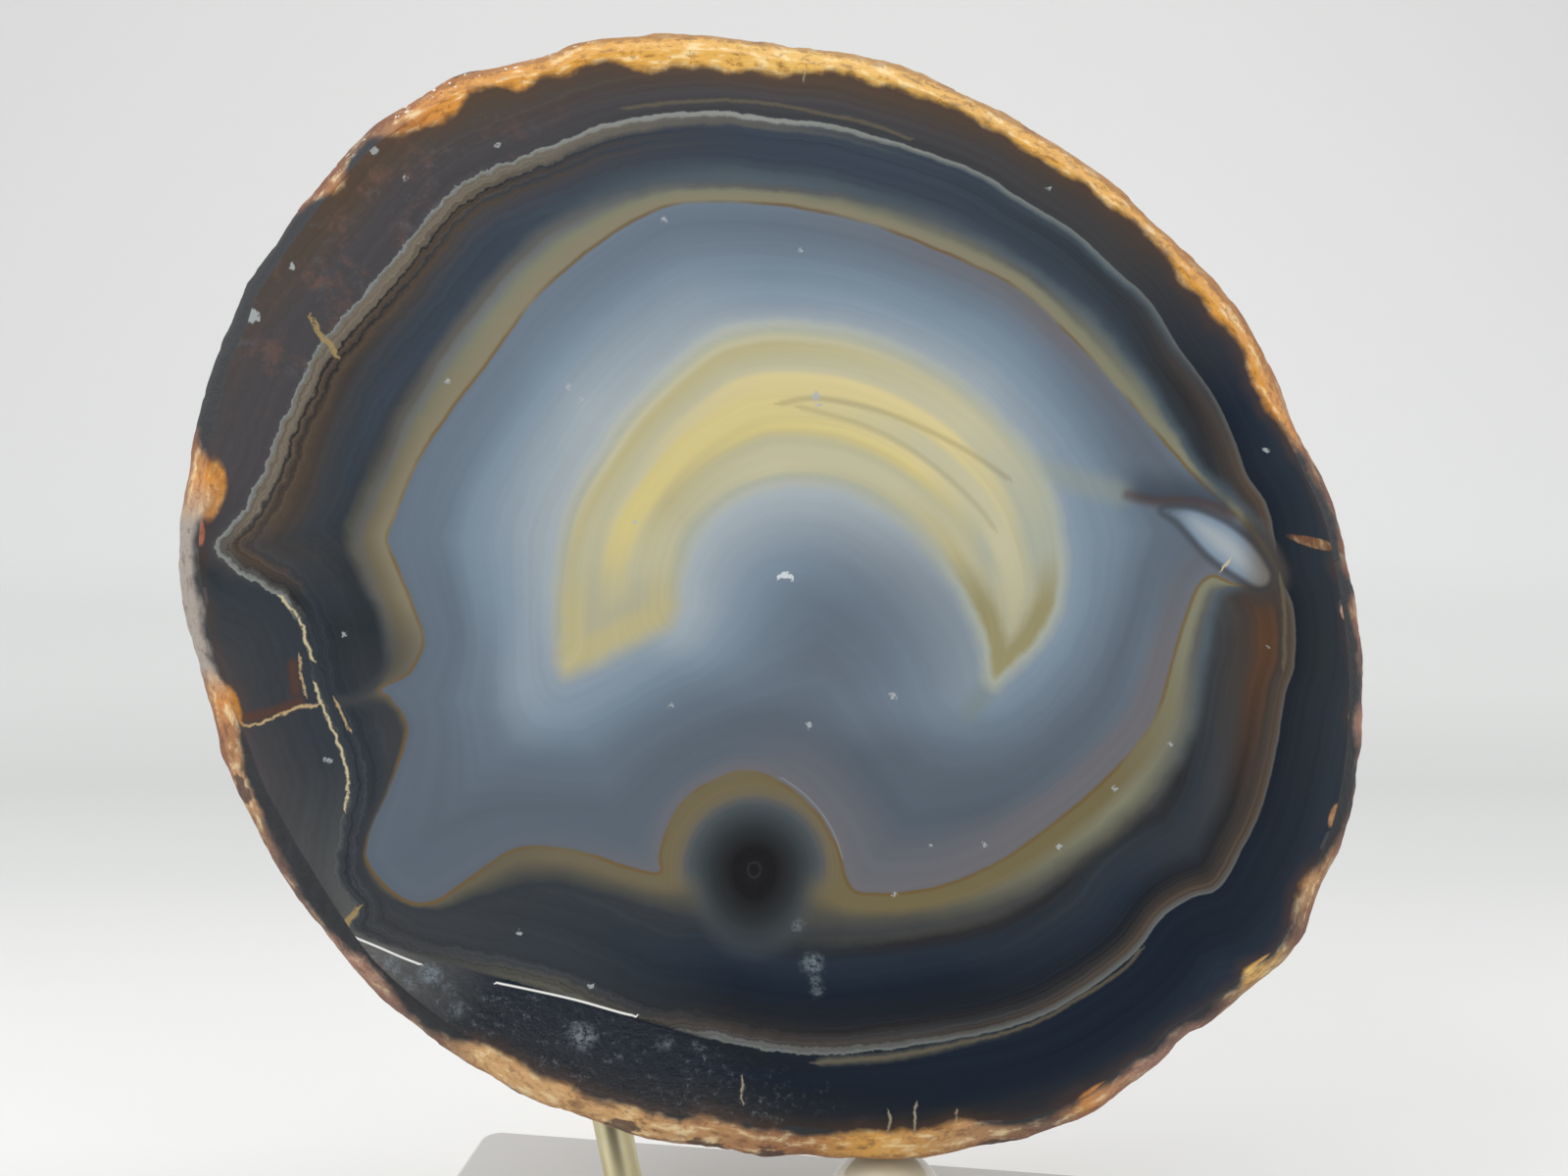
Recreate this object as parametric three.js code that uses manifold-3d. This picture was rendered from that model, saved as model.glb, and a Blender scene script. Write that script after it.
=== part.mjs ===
// Half of an agate nodule on a small display stand, in millimetres, +Z up.
// The stone was sawn through its middle. The cut is polished flat and looks towards -Y, leaning
// back a little, and the other side is the nodule's own domed rind. It rests, unfastened, on
// the rubber tips of three leaning brass pegs that stand in a flat acrylic base.

import * as THREE from 'three';
import { mergeVertices } from 'three/addons/utils/BufferGeometryUtils.js';
import Module from 'manifold-3d';

const wasm = await Module();
wasm.setup();

const GAP = 0.3; // clearance kept between pieces that touch
const DEGREE = Math.PI / 180;

// The stone. Points on the cut are (u, v): across it and up it, from its middle.
// Depth w is measured back from the cut. The outline is the stone's edge as the eye meets it
// from EYE_DISTANCE in front of the cut, so a rim that lies deeper is that much wider.
const EYE_DISTANCE = 160;
const EYE_POINT = new THREE.Vector2(1.25, 0.95);
const OUTLINE = [
  [-60.2, 5.5], [-59.6, 10], [-58.6, 16], [-57.2, 21], [-56, 25], [-54.6, 28], [-53.5, 31],
  [-51.5, 34], [-48.5, 38.2], [-44, 44], [-40, 47.8], [-36, 50.4], [-32.5, 52.4], [-28, 53.7],
  [-22.5, 55], [-19.5, 56.3], [-12, 57], [-6.5, 57], [0, 56.2], [7, 55.2], [13, 53.8],
  [20, 50.8], [26.3, 47.3], [30, 45.2], [35, 41.4], [40, 36.7], [45.5, 31], [49.3, 25.8],
  [52, 19.8], [55, 13.3], [57.3, 8], [59, 0], [59.9, -8], [59.5, -17], [58, -24.3],
  [55.4, -30], [53.8, -34], [51.9, -37], [48.1, -40], [44.4, -43], [41.3, -45], [39.5, -47],
  [36.6, -49], [33, -52], [28.1, -54.1], [22, -55.5], [16, -56.9], [8, -57.2], [2.2, -56.8],
  [-1, -57], [-4, -56.3], [-8, -55.7], [-13, -55.1], [-18, -53.3], [-24, -51.4], [-30, -47.9],
  [-35.5, -44.2], [-41.2, -39.2], [-45.6, -33.9], [-50, -28], [-52.2, -24], [-54.3, -20],
  [-56, -15], [-57.2, -10], [-59, -4], [-60, 1],
];

// How far the polished cut stops short of that outline: [direction in degrees, millimetres].
// The rind shows in the gap, widest low on the left and underneath.
const RIND_SHOWING = [
  [0, 0.6], [30, 0.5], [60, 0.7], [90, 0.9], [120, 0.8], [145, 0.5], [165, 1.0], [180, 1.6],
  [188, 1.2], [196, 2.2], [210, 2.4], [222, 1.4], [236, 1.2], [248, 1.4], [270, 2.0],
  [285, 2.0], [295, 1.2], [330, 0.8],
];

const GIRTH_DEPTH = 6; // where the stone is widest
const STONE_DEPTH = 42; // cut face to the top of the dome
const DOME_CENTRE = new THREE.Vector2(3, -3); // where the dome's top lies behind the cut
const EDGE_BREAK = 0.35; // the small bevel around the polished cut
const RIM_PROFILE = [[0.45, 0.2], [0.8, 0.5], [1, 1]]; // from cut to girth: [outward, backward]
const RIM_START = 2; // the first ring behind the polished cut and its bevel

// A coarser flat was ground low on the left: it starts at this line and falls away from it.
const FLAT_START = new THREE.Vector2(-45, -33.7);
const FLAT_END = new THREE.Vector2(-14, -42.7);
const FLAT_SLOPE = Math.tan(12 * DEGREE);

const DIRECTIONS = 132; // steps around the stone
const DOME_RINGS = 15;
const POINTS_PER_SPAN = 8; // how finely the outline's curve is followed
const DIMPLES = 34; // shallow hollows in the rind
const DIMPLE_DEPTH = 1.3;

// How the stone stands
const LEAN_BACK = 8.5 * DEGREE;
const CUT_CENTRE_HEIGHT = 83.5;

// The stand
const BASE_WIDTH = 84;
const BASE_DEPTH = 60;
const BASE_THICKNESS = 5;
const BASE_CORNER = 2.5;
const BASE_BEVEL = 0.5;
const BASE_TURN = -8.5 * DEGREE;
const BASE_CENTRE = new THREE.Vector2(-1.55, 3.5);
const PEG_RADIUS = 2.1;
const PEG_CHAMFER = 0.3;
const HOLE_DEPTH = 3.4; // the pegs' holes stop inside the base
const ROUND_STEPS = 28;
const TIP_STEPS = 12;

// The two kinds of tip, each with how far its peg goes into it. A cap is open at its wide end.
const CAP = { radius: 3, length: 3.4, socket: 1.8 };
const BALL = { radius: 6.6, length: 13.2, socket: 6 };

// Each peg: where its axis meets the top of the base, the way it leans, and its tip.
const PEGS = [
  { name: 'left', foot: [-15.1, 8], lean: [-0.177, 0], tip: CAP },
  { name: 'front', foot: [12.2, -0.8], lean: [0, 0], tip: BALL },
  { name: 'back', foot: [13.2, 17], lean: [0.12, 0.25], tip: CAP },
];

const agate = new THREE.MeshStandardMaterial({ color: 0x3a4148, roughness: 0.25, metalness: 0 });
const acrylic = new THREE.MeshStandardMaterial({ color: 0xc6c4c1, roughness: 0.35, metalness: 0 });
const brass = new THREE.MeshStandardMaterial({ color: 0xcdbf7e, roughness: 0.25, metalness: 1 });
const rubber = new THREE.MeshStandardMaterial({ color: 0xd8d3a4, roughness: 0.3, metalness: 0 });

// Reads a [direction, value] list that closes on itself, in degrees, with straight steps.
function valueAround(list, degrees) {
  const d = THREE.MathUtils.euclideanModulo(degrees, 360);
  const next = list.findIndex(([direction]) => direction > d);
  const [d1, v1] = next < 0 ? [list[0][0] + 360, list[0][1]] : list[next];
  const [d0, v0] = list[(next < 0 ? list.length : next) - 1];
  return THREE.MathUtils.mapLinear(d, d0, d1, v0, v1);
}

// The outline as [direction, radius] from the middle of the cut, all the way round.
function outlineAsRadii() {
  const corners = OUTLINE.map(([u, v]) => new THREE.Vector3(u, v, 0));
  const curve = new THREE.CatmullRomCurve3(corners, true, 'centripetal');
  const radii = curve.getPoints(OUTLINE.length * POINTS_PER_SPAN).slice(1).map((p) => {
    const direction = THREE.MathUtils.euclideanModulo(Math.atan2(p.y, p.x) / DEGREE, 360);
    return [direction, Math.hypot(p.x, p.y)];
  });
  radii.sort((a, b) => a[0] - b[0]);
  return [[radii.at(-1)[0] - 360, radii.at(-1)[1]], ...radii];
}

// How deep the ground flat lies under the plane of the cut at (u, v), or less than 0 off it.
function flatDepth(point) {
  const along = FLAT_END.clone().sub(FLAT_START).normalize();
  return point.clone().sub(FLAT_START).cross(along) * FLAT_SLOPE;
}

// Where a ray from the middle of the cut crosses the line at which the ground flat starts.
function reachToFlat(ray) {
  const along = FLAT_END.clone().sub(FLAT_START).normalize();
  const closing = ray.cross(along);
  return closing > 0 ? FLAT_START.cross(along) / closing : Infinity;
}

// Shallow hollows spread evenly over the dome, as a fraction of the stone's radius.
function dimpling(direction) {
  let depth = 0;
  for (let i = 0; i < DIMPLES; i++) {
    const back = (i + 0.5) / DIMPLES;
    const turn = i * 137.5 * DEGREE;
    const flat = Math.sqrt(1 - back * back);
    const hollow = new THREE.Vector3(flat * Math.cos(turn), flat * Math.sin(turn), back);
    const width = 0.13 + 0.08 * Math.sin(i * 2.3);
    depth += Math.exp(-direction.distanceToSquared(hollow) / (width * width));
  }
  return depth * DIMPLE_DEPTH / 60;
}

// Broad swells that keep the dome from being a smooth shell, as a fraction of its radius.
function swelling({ x, y, z }) {
  return 0.02 * Math.sin(4.1 * x + 1.7 * y + 0.5) + 0.016 * Math.sin(5.2 * y - 2.6 * z + 2.1)
    + 0.012 * Math.sin(6.3 * x - 3.4 * y + 4 * z);
}

// A point of the dome: outward along a ray, lifted from the girth (0) to the dome's top (PI / 2).
function domePoint(atGirth, ray, lift) {
  const back = Math.sin(lift);
  const outward = new THREE.Vector3(ray.x * Math.cos(lift), ray.y * Math.cos(lift), back);
  const grown = 1 + (swelling(outward) - dimpling(outward)) * Math.sqrt(back);
  const p = atGirth.clone().multiplyScalar(Math.cos(lift) ** 0.85 * grown);
  p.addScaledVector(DOME_CENTRE, back);
  return new THREE.Vector3(p.x, p.y, GIRTH_DEPTH + (STONE_DEPTH - GIRTH_DEPTH) * back * grown);
}

// The stone's rings, each a list of (u, v, w) points, from the polished cut to the dome's top.
function stoneRings() {
  const outline = outlineAsRadii();
  const domeStart = RIM_START + RIM_PROFILE.length;
  const rings = Array.from({ length: domeStart + DOME_RINGS }, () => []);
  for (let i = 0; i < DIRECTIONS; i++) {
    const turn = (i / DIRECTIONS) * 2 * Math.PI;
    const ray = new THREE.Vector2(Math.cos(turn), Math.sin(turn));
    const reach = valueAround(outline, turn / DEGREE);
    const edgeReach = reach - valueAround(RIND_SHOWING, turn / DEGREE);
    const polishedReach = Math.min(edgeReach - EDGE_BREAK, reachToFlat(ray));
    const seen = ray.clone().multiplyScalar(reach).sub(EYE_POINT);
    const atGirth = seen.multiplyScalar(1 + GIRTH_DEPTH / EYE_DISTANCE).add(EYE_POINT);
    const edge = ray.clone().multiplyScalar(edgeReach);
    const edgeDepth = Math.max(EDGE_BREAK, flatDepth(edge));
    const polished = ray.clone().multiplyScalar(polishedReach);
    rings[0].push(new THREE.Vector3(polished.x, polished.y, 0));
    rings[1].push(new THREE.Vector3(edge.x, edge.y, edgeDepth));
    RIM_PROFILE.forEach(([out, back], k) => {
      const p = edge.clone().lerp(atGirth, out);
      const depth = edgeDepth + (GIRTH_DEPTH - edgeDepth) * back;
      rings[RIM_START + k].push(new THREE.Vector3(p.x, p.y, depth));
    });
    for (let k = 0; k < DOME_RINGS; k++) {
      const lift = ((k + 1) / (DOME_RINGS + 1)) * Math.PI / 2;
      rings[domeStart + k].push(domePoint(atGirth, ray, lift));
    }
  }
  return rings;
}

// From (u, v, w) on the leaning stone to the upright frame.
function standUp({ x: u, y: v, z: w }) {
  const y = v * Math.sin(LEAN_BACK) + w * Math.cos(LEAN_BACK);
  const z = v * Math.cos(LEAN_BACK) - w * Math.sin(LEAN_BACK);
  return new THREE.Vector3(u, y, z + CUT_CENTRE_HEIGHT);
}

function stoneGeometry() {
  const rings = stoneRings();
  const points = rings.flat();
  const faces = [];
  const cutCentre = points.push(new THREE.Vector3(0, 0, 0)) - 1;
  const domeTop = points.push(domePoint(DOME_CENTRE, new THREE.Vector2(), Math.PI / 2)) - 1;
  const lastRing = (rings.length - 1) * DIRECTIONS;
  for (let i = 0; i < DIRECTIONS; i++) {
    const j = (i + 1) % DIRECTIONS;
    faces.push(cutCentre, i, j, domeTop, lastRing + j, lastRing + i);
    for (let near = 0; near < lastRing; near += DIRECTIONS) {
      const far = near + DIRECTIONS;
      faces.push(near + i, far + i, far + j, near + i, far + j, near + j);
    }
  }
  const geometry = new THREE.BufferGeometry().setFromPoints(points.map(standUp));
  geometry.setIndex(faces);
  return geometry;
}

// A turned body: [radius, height] pairs from the bottom of its axis to the top.
function turned(profile) {
  return new THREE.LatheGeometry(profile.map(([r, z]) => new THREE.Vector2(r, z)), ROUND_STEPS)
    .rotateX(Math.PI / 2);
}

function pegGeometry(length) {
  const shoulder = PEG_RADIUS - PEG_CHAMFER;
  return turned([
    [0, 0], [shoulder, 0], [PEG_RADIUS, PEG_CHAMFER],
    [PEG_RADIUS, length - PEG_CHAMFER], [shoulder, length], [0, length],
  ]);
}

// A rounded tip around z = 0, with the socket for its peg opening downwards.
function tipGeometry({ radius, length, socket }) {
  const socketRadius = PEG_RADIUS + GAP;
  const capped = length < radius * 2;
  const start = capped ? 0 : -Math.acos(socketRadius / radius);
  const dome = [];
  for (let k = 0; k <= TIP_STEPS; k++) {
    const angle = THREE.MathUtils.lerp(start, Math.PI / 2, k / TIP_STEPS);
    dome.push([radius * Math.cos(angle), radius * Math.sin(angle)]);
  }
  dome[TIP_STEPS][0] = 0;
  const open = capped ? radius - length : dome[0][1];
  const mouth = capped ? [[socketRadius, open], [radius, open]] : [];
  return turned([[0, open + socket], [socketRadius, open + socket], ...mouth, ...dome]);
}

function solid(geometry) {
  const shape = geometry.clone();
  shape.deleteAttribute('normal');
  shape.deleteAttribute('uv');
  const merged = mergeVertices(shape, 1e-4);
  const vertProperties = new Float32Array(merged.attributes.position.array);
  const triVerts = new Uint32Array(merged.index.array);
  return new wasm.Manifold(new wasm.Mesh({ numProp: 3, vertProperties, triVerts }));
}

function geometryOf(manifold) {
  const { vertProperties, triVerts } = manifold.getMesh();
  const geometry = new THREE.BufferGeometry();
  geometry.setAttribute('position', new THREE.BufferAttribute(vertProperties, 3));
  geometry.setIndex(new THREE.BufferAttribute(triVerts, 1));
  return geometry;
}

function baseOutline(width, depth, corner) {
  const [x, y] = [width / 2, depth / 2];
  const shape = new THREE.Shape();
  shape.moveTo(-x + corner, -y);
  shape.lineTo(x - corner, -y).absarc(x - corner, -y + corner, corner, -Math.PI / 2, 0);
  shape.lineTo(x, y - corner).absarc(x - corner, y - corner, corner, 0, Math.PI / 2);
  shape.lineTo(-x + corner, y).absarc(-x + corner, y - corner, corner, Math.PI / 2, Math.PI);
  shape.lineTo(-x, -y + corner).absarc(-x + corner, -y + corner, corner, Math.PI, Math.PI * 1.5);
  return shape;
}

// The base, with a blind hole along each peg's axis.
function baseGeometry(pegs) {
  const inner = [BASE_WIDTH - 2 * BASE_BEVEL, BASE_DEPTH - 2 * BASE_BEVEL];
  const slab = new THREE.ExtrudeGeometry(baseOutline(...inner, BASE_CORNER - BASE_BEVEL), {
    depth: BASE_THICKNESS - 2 * BASE_BEVEL,
    bevelSize: BASE_BEVEL,
    bevelThickness: BASE_BEVEL,
    bevelSegments: 2,
    curveSegments: 6,
  });
  slab.translate(0, 0, BASE_BEVEL).rotateZ(BASE_TURN).translate(BASE_CENTRE.x, BASE_CENTRE.y, 0);
  let base = solid(slab);
  for (const { foot, axis } of pegs) {
    const hole = new THREE.CylinderGeometry(PEG_RADIUS + GAP, PEG_RADIUS + GAP, 2 * HOLE_DEPTH, ROUND_STEPS);
    hole.applyQuaternion(new THREE.Quaternion().setFromUnitVectors(new THREE.Vector3(0, 1, 0), axis));
    hole.translate(foot.x, foot.y, foot.z);
    base = base.subtract(solid(hole));
  }
  return geometryOf(base);
}

// How far along its axis a peg's tip goes before it meets the underside of the stone.
function seatTip(foot, axis, radius, stone) {
  const { position } = stone.attributes;
  const index = stone.index.array;
  const triangle = new THREE.Triangle();
  const nearest = new THREE.Vector3();
  const clearance = (centre) => {
    let least = Infinity;
    for (let i = 0; i < index.length; i += 3) {
      triangle.setFromAttributeAndIndices(position, index[i], index[i + 1], index[i + 2]);
      least = Math.min(least, triangle.closestPointToPoint(centre, nearest).distanceTo(centre));
    }
    return least - radius;
  };
  let travel = radius;
  for (let step = 0; step < 40; step++) {
    travel += clearance(foot.clone().addScaledVector(axis, travel)) - GAP;
  }
  return travel;
}

function mesh(name, geometry, material) {
  const piece = new THREE.Mesh(geometry, material);
  piece.name = name;
  return piece;
}

const geode = new THREE.Group();
const stone = stoneGeometry();
geode.add(mesh('agate_geode', stone, agate));

const up = new THREE.Vector3(0, 0, 1);
const pegs = PEGS.map(({ name, foot: [x, y], lean: [dx, dy], tip }) => ({
  name,
  tip,
  foot: new THREE.Vector3(x, y, BASE_THICKNESS),
  axis: new THREE.Vector3(dx, dy, 1).normalize(),
}));
geode.add(mesh('stand_base', baseGeometry(pegs), acrylic));

for (const { name, foot, axis, tip } of pegs) {
  const travel = seatTip(foot, axis, tip.radius, stone);
  const tipMesh = mesh(`tip_${name}`, tipGeometry(tip), rubber);
  tipMesh.position.copy(foot).addScaledVector(axis, travel);
  tipMesh.quaternion.setFromUnitVectors(up, axis);
  const socketTop = tipMesh.geometry.attributes.position.getZ(0);
  const bottom = GAP - HOLE_DEPTH;
  const peg = mesh(`peg_${name}`, pegGeometry(travel + socketTop - GAP - bottom), brass);
  peg.position.copy(foot).addScaledVector(axis, bottom);
  peg.quaternion.copy(tipMesh.quaternion);
  geode.add(tipMesh, peg);
}

// The origin is at the middle of the footprint, on the surface that the base stands on.
const box = new THREE.Box3().setFromObject(geode, true);
const centre = box.getCenter(new THREE.Vector3());
geode.position.set(-centre.x, -centre.y, -box.min.z);

export default geode;
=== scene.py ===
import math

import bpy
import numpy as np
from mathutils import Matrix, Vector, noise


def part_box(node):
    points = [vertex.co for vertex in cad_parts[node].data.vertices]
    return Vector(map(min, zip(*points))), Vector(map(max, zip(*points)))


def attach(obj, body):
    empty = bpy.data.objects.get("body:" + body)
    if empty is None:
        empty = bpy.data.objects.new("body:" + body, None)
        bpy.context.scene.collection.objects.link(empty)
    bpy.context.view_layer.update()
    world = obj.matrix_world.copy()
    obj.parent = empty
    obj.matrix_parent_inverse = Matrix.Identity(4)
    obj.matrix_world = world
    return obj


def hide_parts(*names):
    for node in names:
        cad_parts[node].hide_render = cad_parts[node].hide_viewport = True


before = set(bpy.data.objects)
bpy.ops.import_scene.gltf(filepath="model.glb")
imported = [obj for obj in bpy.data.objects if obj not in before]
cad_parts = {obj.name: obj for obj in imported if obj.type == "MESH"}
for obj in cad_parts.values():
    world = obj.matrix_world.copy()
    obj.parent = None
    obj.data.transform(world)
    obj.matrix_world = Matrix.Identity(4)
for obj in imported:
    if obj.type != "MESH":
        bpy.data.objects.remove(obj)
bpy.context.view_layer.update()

# Half of an agate nodule with a polished cut, on a small peg stand.
# The stone is designed in millimetres as (u, v, w): across the cut, up the cut, and back into the
# stone, from the middle of the cut. Stand sizes are in millimetres too. Meshes are in metres.

MM = 0.001

# How the stone stands
LEAN_BACK = math.radians(8.5)
CUT_CENTRE_HEIGHT = 83.5
BASE_CENTRE = (-1.55, 3.5)
BASE_TOP = 5.0

# The stone's edge as the eye meets it from EYE_DISTANCE in front of the cut
EYE_DISTANCE = 160.0
EYE_POINT = np.array([1.25, 0.95])
OUTLINE = [
    (-60.2, 5.5), (-59.6, 10), (-58.6, 16), (-57.2, 21), (-56, 25), (-54.6, 28), (-53.5, 31),
    (-51.5, 34), (-48.5, 38.2), (-44, 44), (-40, 47.8), (-36, 50.4), (-32.5, 52.4), (-28, 53.7),
    (-22.5, 55), (-19.5, 56.3), (-12, 57), (-6.5, 57), (0, 56.2), (7, 55.2), (13, 53.8),
    (20, 50.8), (26.3, 47.3), (30, 45.2), (35, 41.4), (40, 36.7), (45.5, 31), (49.3, 25.8),
    (52, 19.8), (55, 13.3), (57.3, 8), (59, 0), (59.9, -8), (59.5, -17), (58, -24.3),
    (55.4, -30), (53.8, -34), (51.9, -37), (48.1, -40), (44.4, -43), (41.3, -45), (39.5, -47),
    (36.6, -49), (33, -52), (28.1, -54.1), (22, -55.5), (16, -56.9), (8, -57.2), (2.2, -56.8),
    (-1, -57), (-4, -56.3), (-8, -55.7), (-13, -55.1), (-18, -53.3), (-24, -51.4), (-30, -47.9),
    (-35.5, -44.2), (-41.2, -39.2), (-45.6, -33.9), (-50, -28), (-52.2, -24), (-54.3, -20),
    (-56, -15), (-57.2, -10), (-59, -4), (-60, 1),
]

# How far the polished cut stops short of the outline: (direction in degrees, millimetres)
RIND_SHOWING = [
    (0, 0.6), (30, 0.5), (60, 0.7), (90, 0.9), (120, 0.8), (145, 0.5), (165, 1.0), (180, 1.6),
    (188, 1.2), (196, 2.2), (210, 2.4), (222, 1.4), (236, 1.2), (248, 1.4), (270, 2.0),
    (285, 2.0), (295, 1.2), (330, 0.8),
]
GIRTH_DEPTH = 6.0
STONE_DEPTH = 42.0
DOME_CENTRE = np.array([3.0, -3.0])
EDGE_BREAK = 0.35
RIM_PROFILE = [(0, 0), (0.45, 0.2), (0.8, 0.5), (1, 1)]  # (outward, backward) from edge to girth

# The coarser flat, ground low on the left
FLAT_START = np.array([-45.0, -33.7])
FLAT_END = np.array([-14.0, -42.7])
FLAT_SLOPE = math.tan(math.radians(12))
CREASE = 0.25  # how softly the flat starts

DIMPLES = 34
DIMPLE_DEPTH = 1.3

# The stone's mesh: rings on the cut with fewer points towards the middle, then rim and dome
RIM_POINTS = 640
CUT_RINGS = 126
RIM_RINGS = 12
DOME_RINGS = 52

# The grey line around the banded heart of the stone, clockwise from its left tip
GREY_LINE = [
    (-56.8, 5), (-54, 9), (-51.8, 13), (-50.4, 17), (-48.8, 20.5), (-46.5, 25.2), (-43, 29.5),
    (-39, 34), (-35, 39), (-32, 42), (-28, 44), (-22, 46.3), (-18, 48), (-12, 49.2), (-5, 49.6),
    (0, 48.9), (6, 48.3), (10, 47.2), (14.7, 45.8), (21.5, 43.2), (25, 40.9), (31, 37.2),
    (35, 33.5), (38.5, 30.3), (41.5, 25.5), (44.8, 21), (47, 16.6), (48.5, 12.5), (50.5, 9.5),
    (51.3, 6), (52, 2), (53.2, -1), (53.3, -7), (52.5, -9.5), (51.4, -16), (49.8, -22),
    (48, -25.7), (45.5, -29.8), (43, -30.6), (40, -32.5), (37.3, -36), (34, -38.8), (28, -42.5),
    (23, -44.2), (18, -45.2), (12, -46.1), (5, -46.7), (-1, -46.2), (-7, -45), (-13, -44.4),
    (-17, -42.8), (-23, -40.2), (-30, -38.6), (-36, -37.4), (-39, -36.2), (-43.6, -33.4),
    (-42.4, -32.2), (-44.5, -28.5), (-44.2, -24.5), (-43.2, -19), (-44.7, -13.5), (-46.7, -8.8),
    (-47.6, -4.5), (-50, -0.1), (-53.5, 1.9), (-56, 3.8),
]

# The fuzzy outer edge of the olive band
OLIVE_EDGE = [
    (-43.2, 6), (-41.8, 10), (-39.8, 14), (-38.2, 18), (-36, 22), (-32, 28), (-27, 34), (-24, 37),
    (-20, 39.4), (-13, 42), (-6, 42.6), (0, 42.3), (10, 41), (18, 38.8), (26, 34.8), (32, 30),
    (37, 24), (41, 17.5), (44, 12.6), (46.5, 10.8), (49, 8), (51.2, 4.5), (51.8, 2), (50, 0.9),
    (47.5, 1), (45.8, 0.5), (44.9, -1.5), (44, -6), (43, -13), (40, -19), (34, -25), (26, -30.5),
    (18, -33.3), (10, -34.3), (-2, -34), (-9, -32.8), (-16, -30.8), (-24, -29.3), (-30, -30.7),
    (-34.5, -32), (-39, -30.8), (-41.5, -28), (-41.4, -24), (-39.6, -20), (-38.3, -16),
    (-37.8, -14), (-38.8, -11.5), (-40, -10.9), (-44, -10.7), (-42, -10), (-39.6, -8), (-39, -6),
    (-39.7, -2), (-41.5, 2),
]

# The thin brown line inside the olive band
BROWN_LINE = [
    (-39.2, 5.8), (-38.5, 8), (-36, 14), (-32, 20), (-28.9, 24), (-24.5, 30), (-20.3, 34),
    (-14, 38.4), (-10, 40), (-6, 40.3), (2, 39.8), (10, 38), (18, 34.9), (25, 31.5), (31, 26),
    (36, 20.5), (40, 15.8), (44, 11.3), (48, 7.6), (50, 4.8), (51.2, 2.6), (49.5, 1.3), (47, 1.5),
    (45, 2.3), (43.5, 1.2), (41.7, -3.5), (40, -9.5), (38.8, -12.8), (34.5, -18), (29, -22.8),
    (23, -27), (17, -29.5), (11, -30.2), (8.5, -29.9), (7.8, -29), (6.5, -25), (4, -21.3),
    (0, -18.3), (-2, -17.7), (-4, -17.8), (-8, -19.8), (-10, -22), (-11.5, -26.5), (-11.4, -28),
    (-15, -27.4), (-20, -25.8), (-26, -25.6), (-30, -28), (-34, -30.8), (-36, -31.2),
    (-38.3, -30.3), (-41.2, -27), (-41.2, -24.5), (-39, -19.5), (-37.3, -14.5), (-37.2, -12.8),
    (-39, -10.2), (-40, -9.5), (-37, -7.8), (-35.5, -4.5), (-36.5, -1), (-38.9, 4.8),
]

# The yellow crescent: its outer and inner edges, both from the left end to the right one
CRESCENT_OUTER = [
    (-21.8, -4), (-21.8, -1), (-21, 6), (-20, 9.5), (-18, 13), (-14, 18.8), (-10, 22.8), (-6, 26),
    (-3, 27), (0, 27.4), (4, 27.2), (8, 26.6), (12, 25.3), (16, 23.4), (20, 20.8), (23, 18),
    (26, 14.5), (28, 11), (29.1, 7), (29.5, 3), (29.3, 0), (28.2, -3), (25.6, -6.3), (22.7, -8.9),
]
CRESCENT_INNER = [
    (-9.8, -1), (-9.9, 1), (-9.5, 3), (-8.5, 6), (-6.5, 8.5), (-4, 10.5), (0, 12), (4, 12.2),
    (7, 11.7), (10, 10.5), (13, 8.5), (16, 5.6), (18, 2.8), (19.6, 0.3), (21, -2.7), (21.9, -5.5),
    (22.3, -8.6),
]
CRESCENT_END = [(-10.6, -2.9), (-16, -5.6), (-19.5, -7.4), (-21.2, -7.9), (-21.7, -6.5)]
CRESCENT_END_WIDTH = 11.5
CORE_MOUTH = [(19, -12), (8, -13), (-2, -9), (-10, -5)]  # where the blue core runs on below

EYE_CENTRE = (-1.8, -27.7, 0)
EYE_REACH = 9.6
EYE_SQUASH = 0.72  # the eye's rings are wider apart below its middle

LENS = [
    (39.8, 8.9), (41.5, 9.1), (43, 9), (45, 8.3), (47, 7.2), (49, 5.4), (50.3, 3.5), (50.9, 2.1),
    (50.4, 1.2), (49.5, 1.1), (48, 1.8), (46, 3.1), (44.2, 4.6), (42.6, 6.4), (41.2, 7.9),
]

# Thin open lines on the cut
OUTER_LINES = [
    [(-15, 49.9), (-10, 50.5), (-4, 50.7), (1, 50.2), (5, 49.4), (10, 48.3), (14, 46.8)],
    [(5, -47.4), (12, -46.9), (16, -46.2), (20, -45.3), (24, -44.4), (28, -42.9), (31, -41.1),
     (34, -39.3), (36.5, -37.4), (37.6, -36)],
    [(51.9, 2), (52.3, -1), (52.3, -7)],
]
CRACKS = [
    [(-50, -0.1), (-48.2, -2.2), (-47.5, -4.5), (-46.9, -6.3)],
    [(-46.5, -9), (-46, -10.8), (-45.1, -12.8), (-44, -15.6), (-43.2, -18.8), (-43.5, -21.4)],
    [(46.6, 3.7), (46, 3)],
]
SPLINTERS = [
    [(-46.8, 28.2), (-46.2, 27), (-45.4, 26.2), (-44.6, 25)],
    [(-43.8, -34.2), (-43.3, -33.3), (-42.4, -32)],
]
CRACK_BRANCH = [[(-53.8, -13), (-52, -12.9), (-50.5, -12), (-48.5, -11.3), (-46.5, -11)]]
CRACK_STROKES = [
    [(-48.2, -6.2), (-48, -8), (-47.6, -9.8)],
    [(-44.6, -10.6), (-43.9, -11.8), (-43.2, -13.4)],
]
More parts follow.
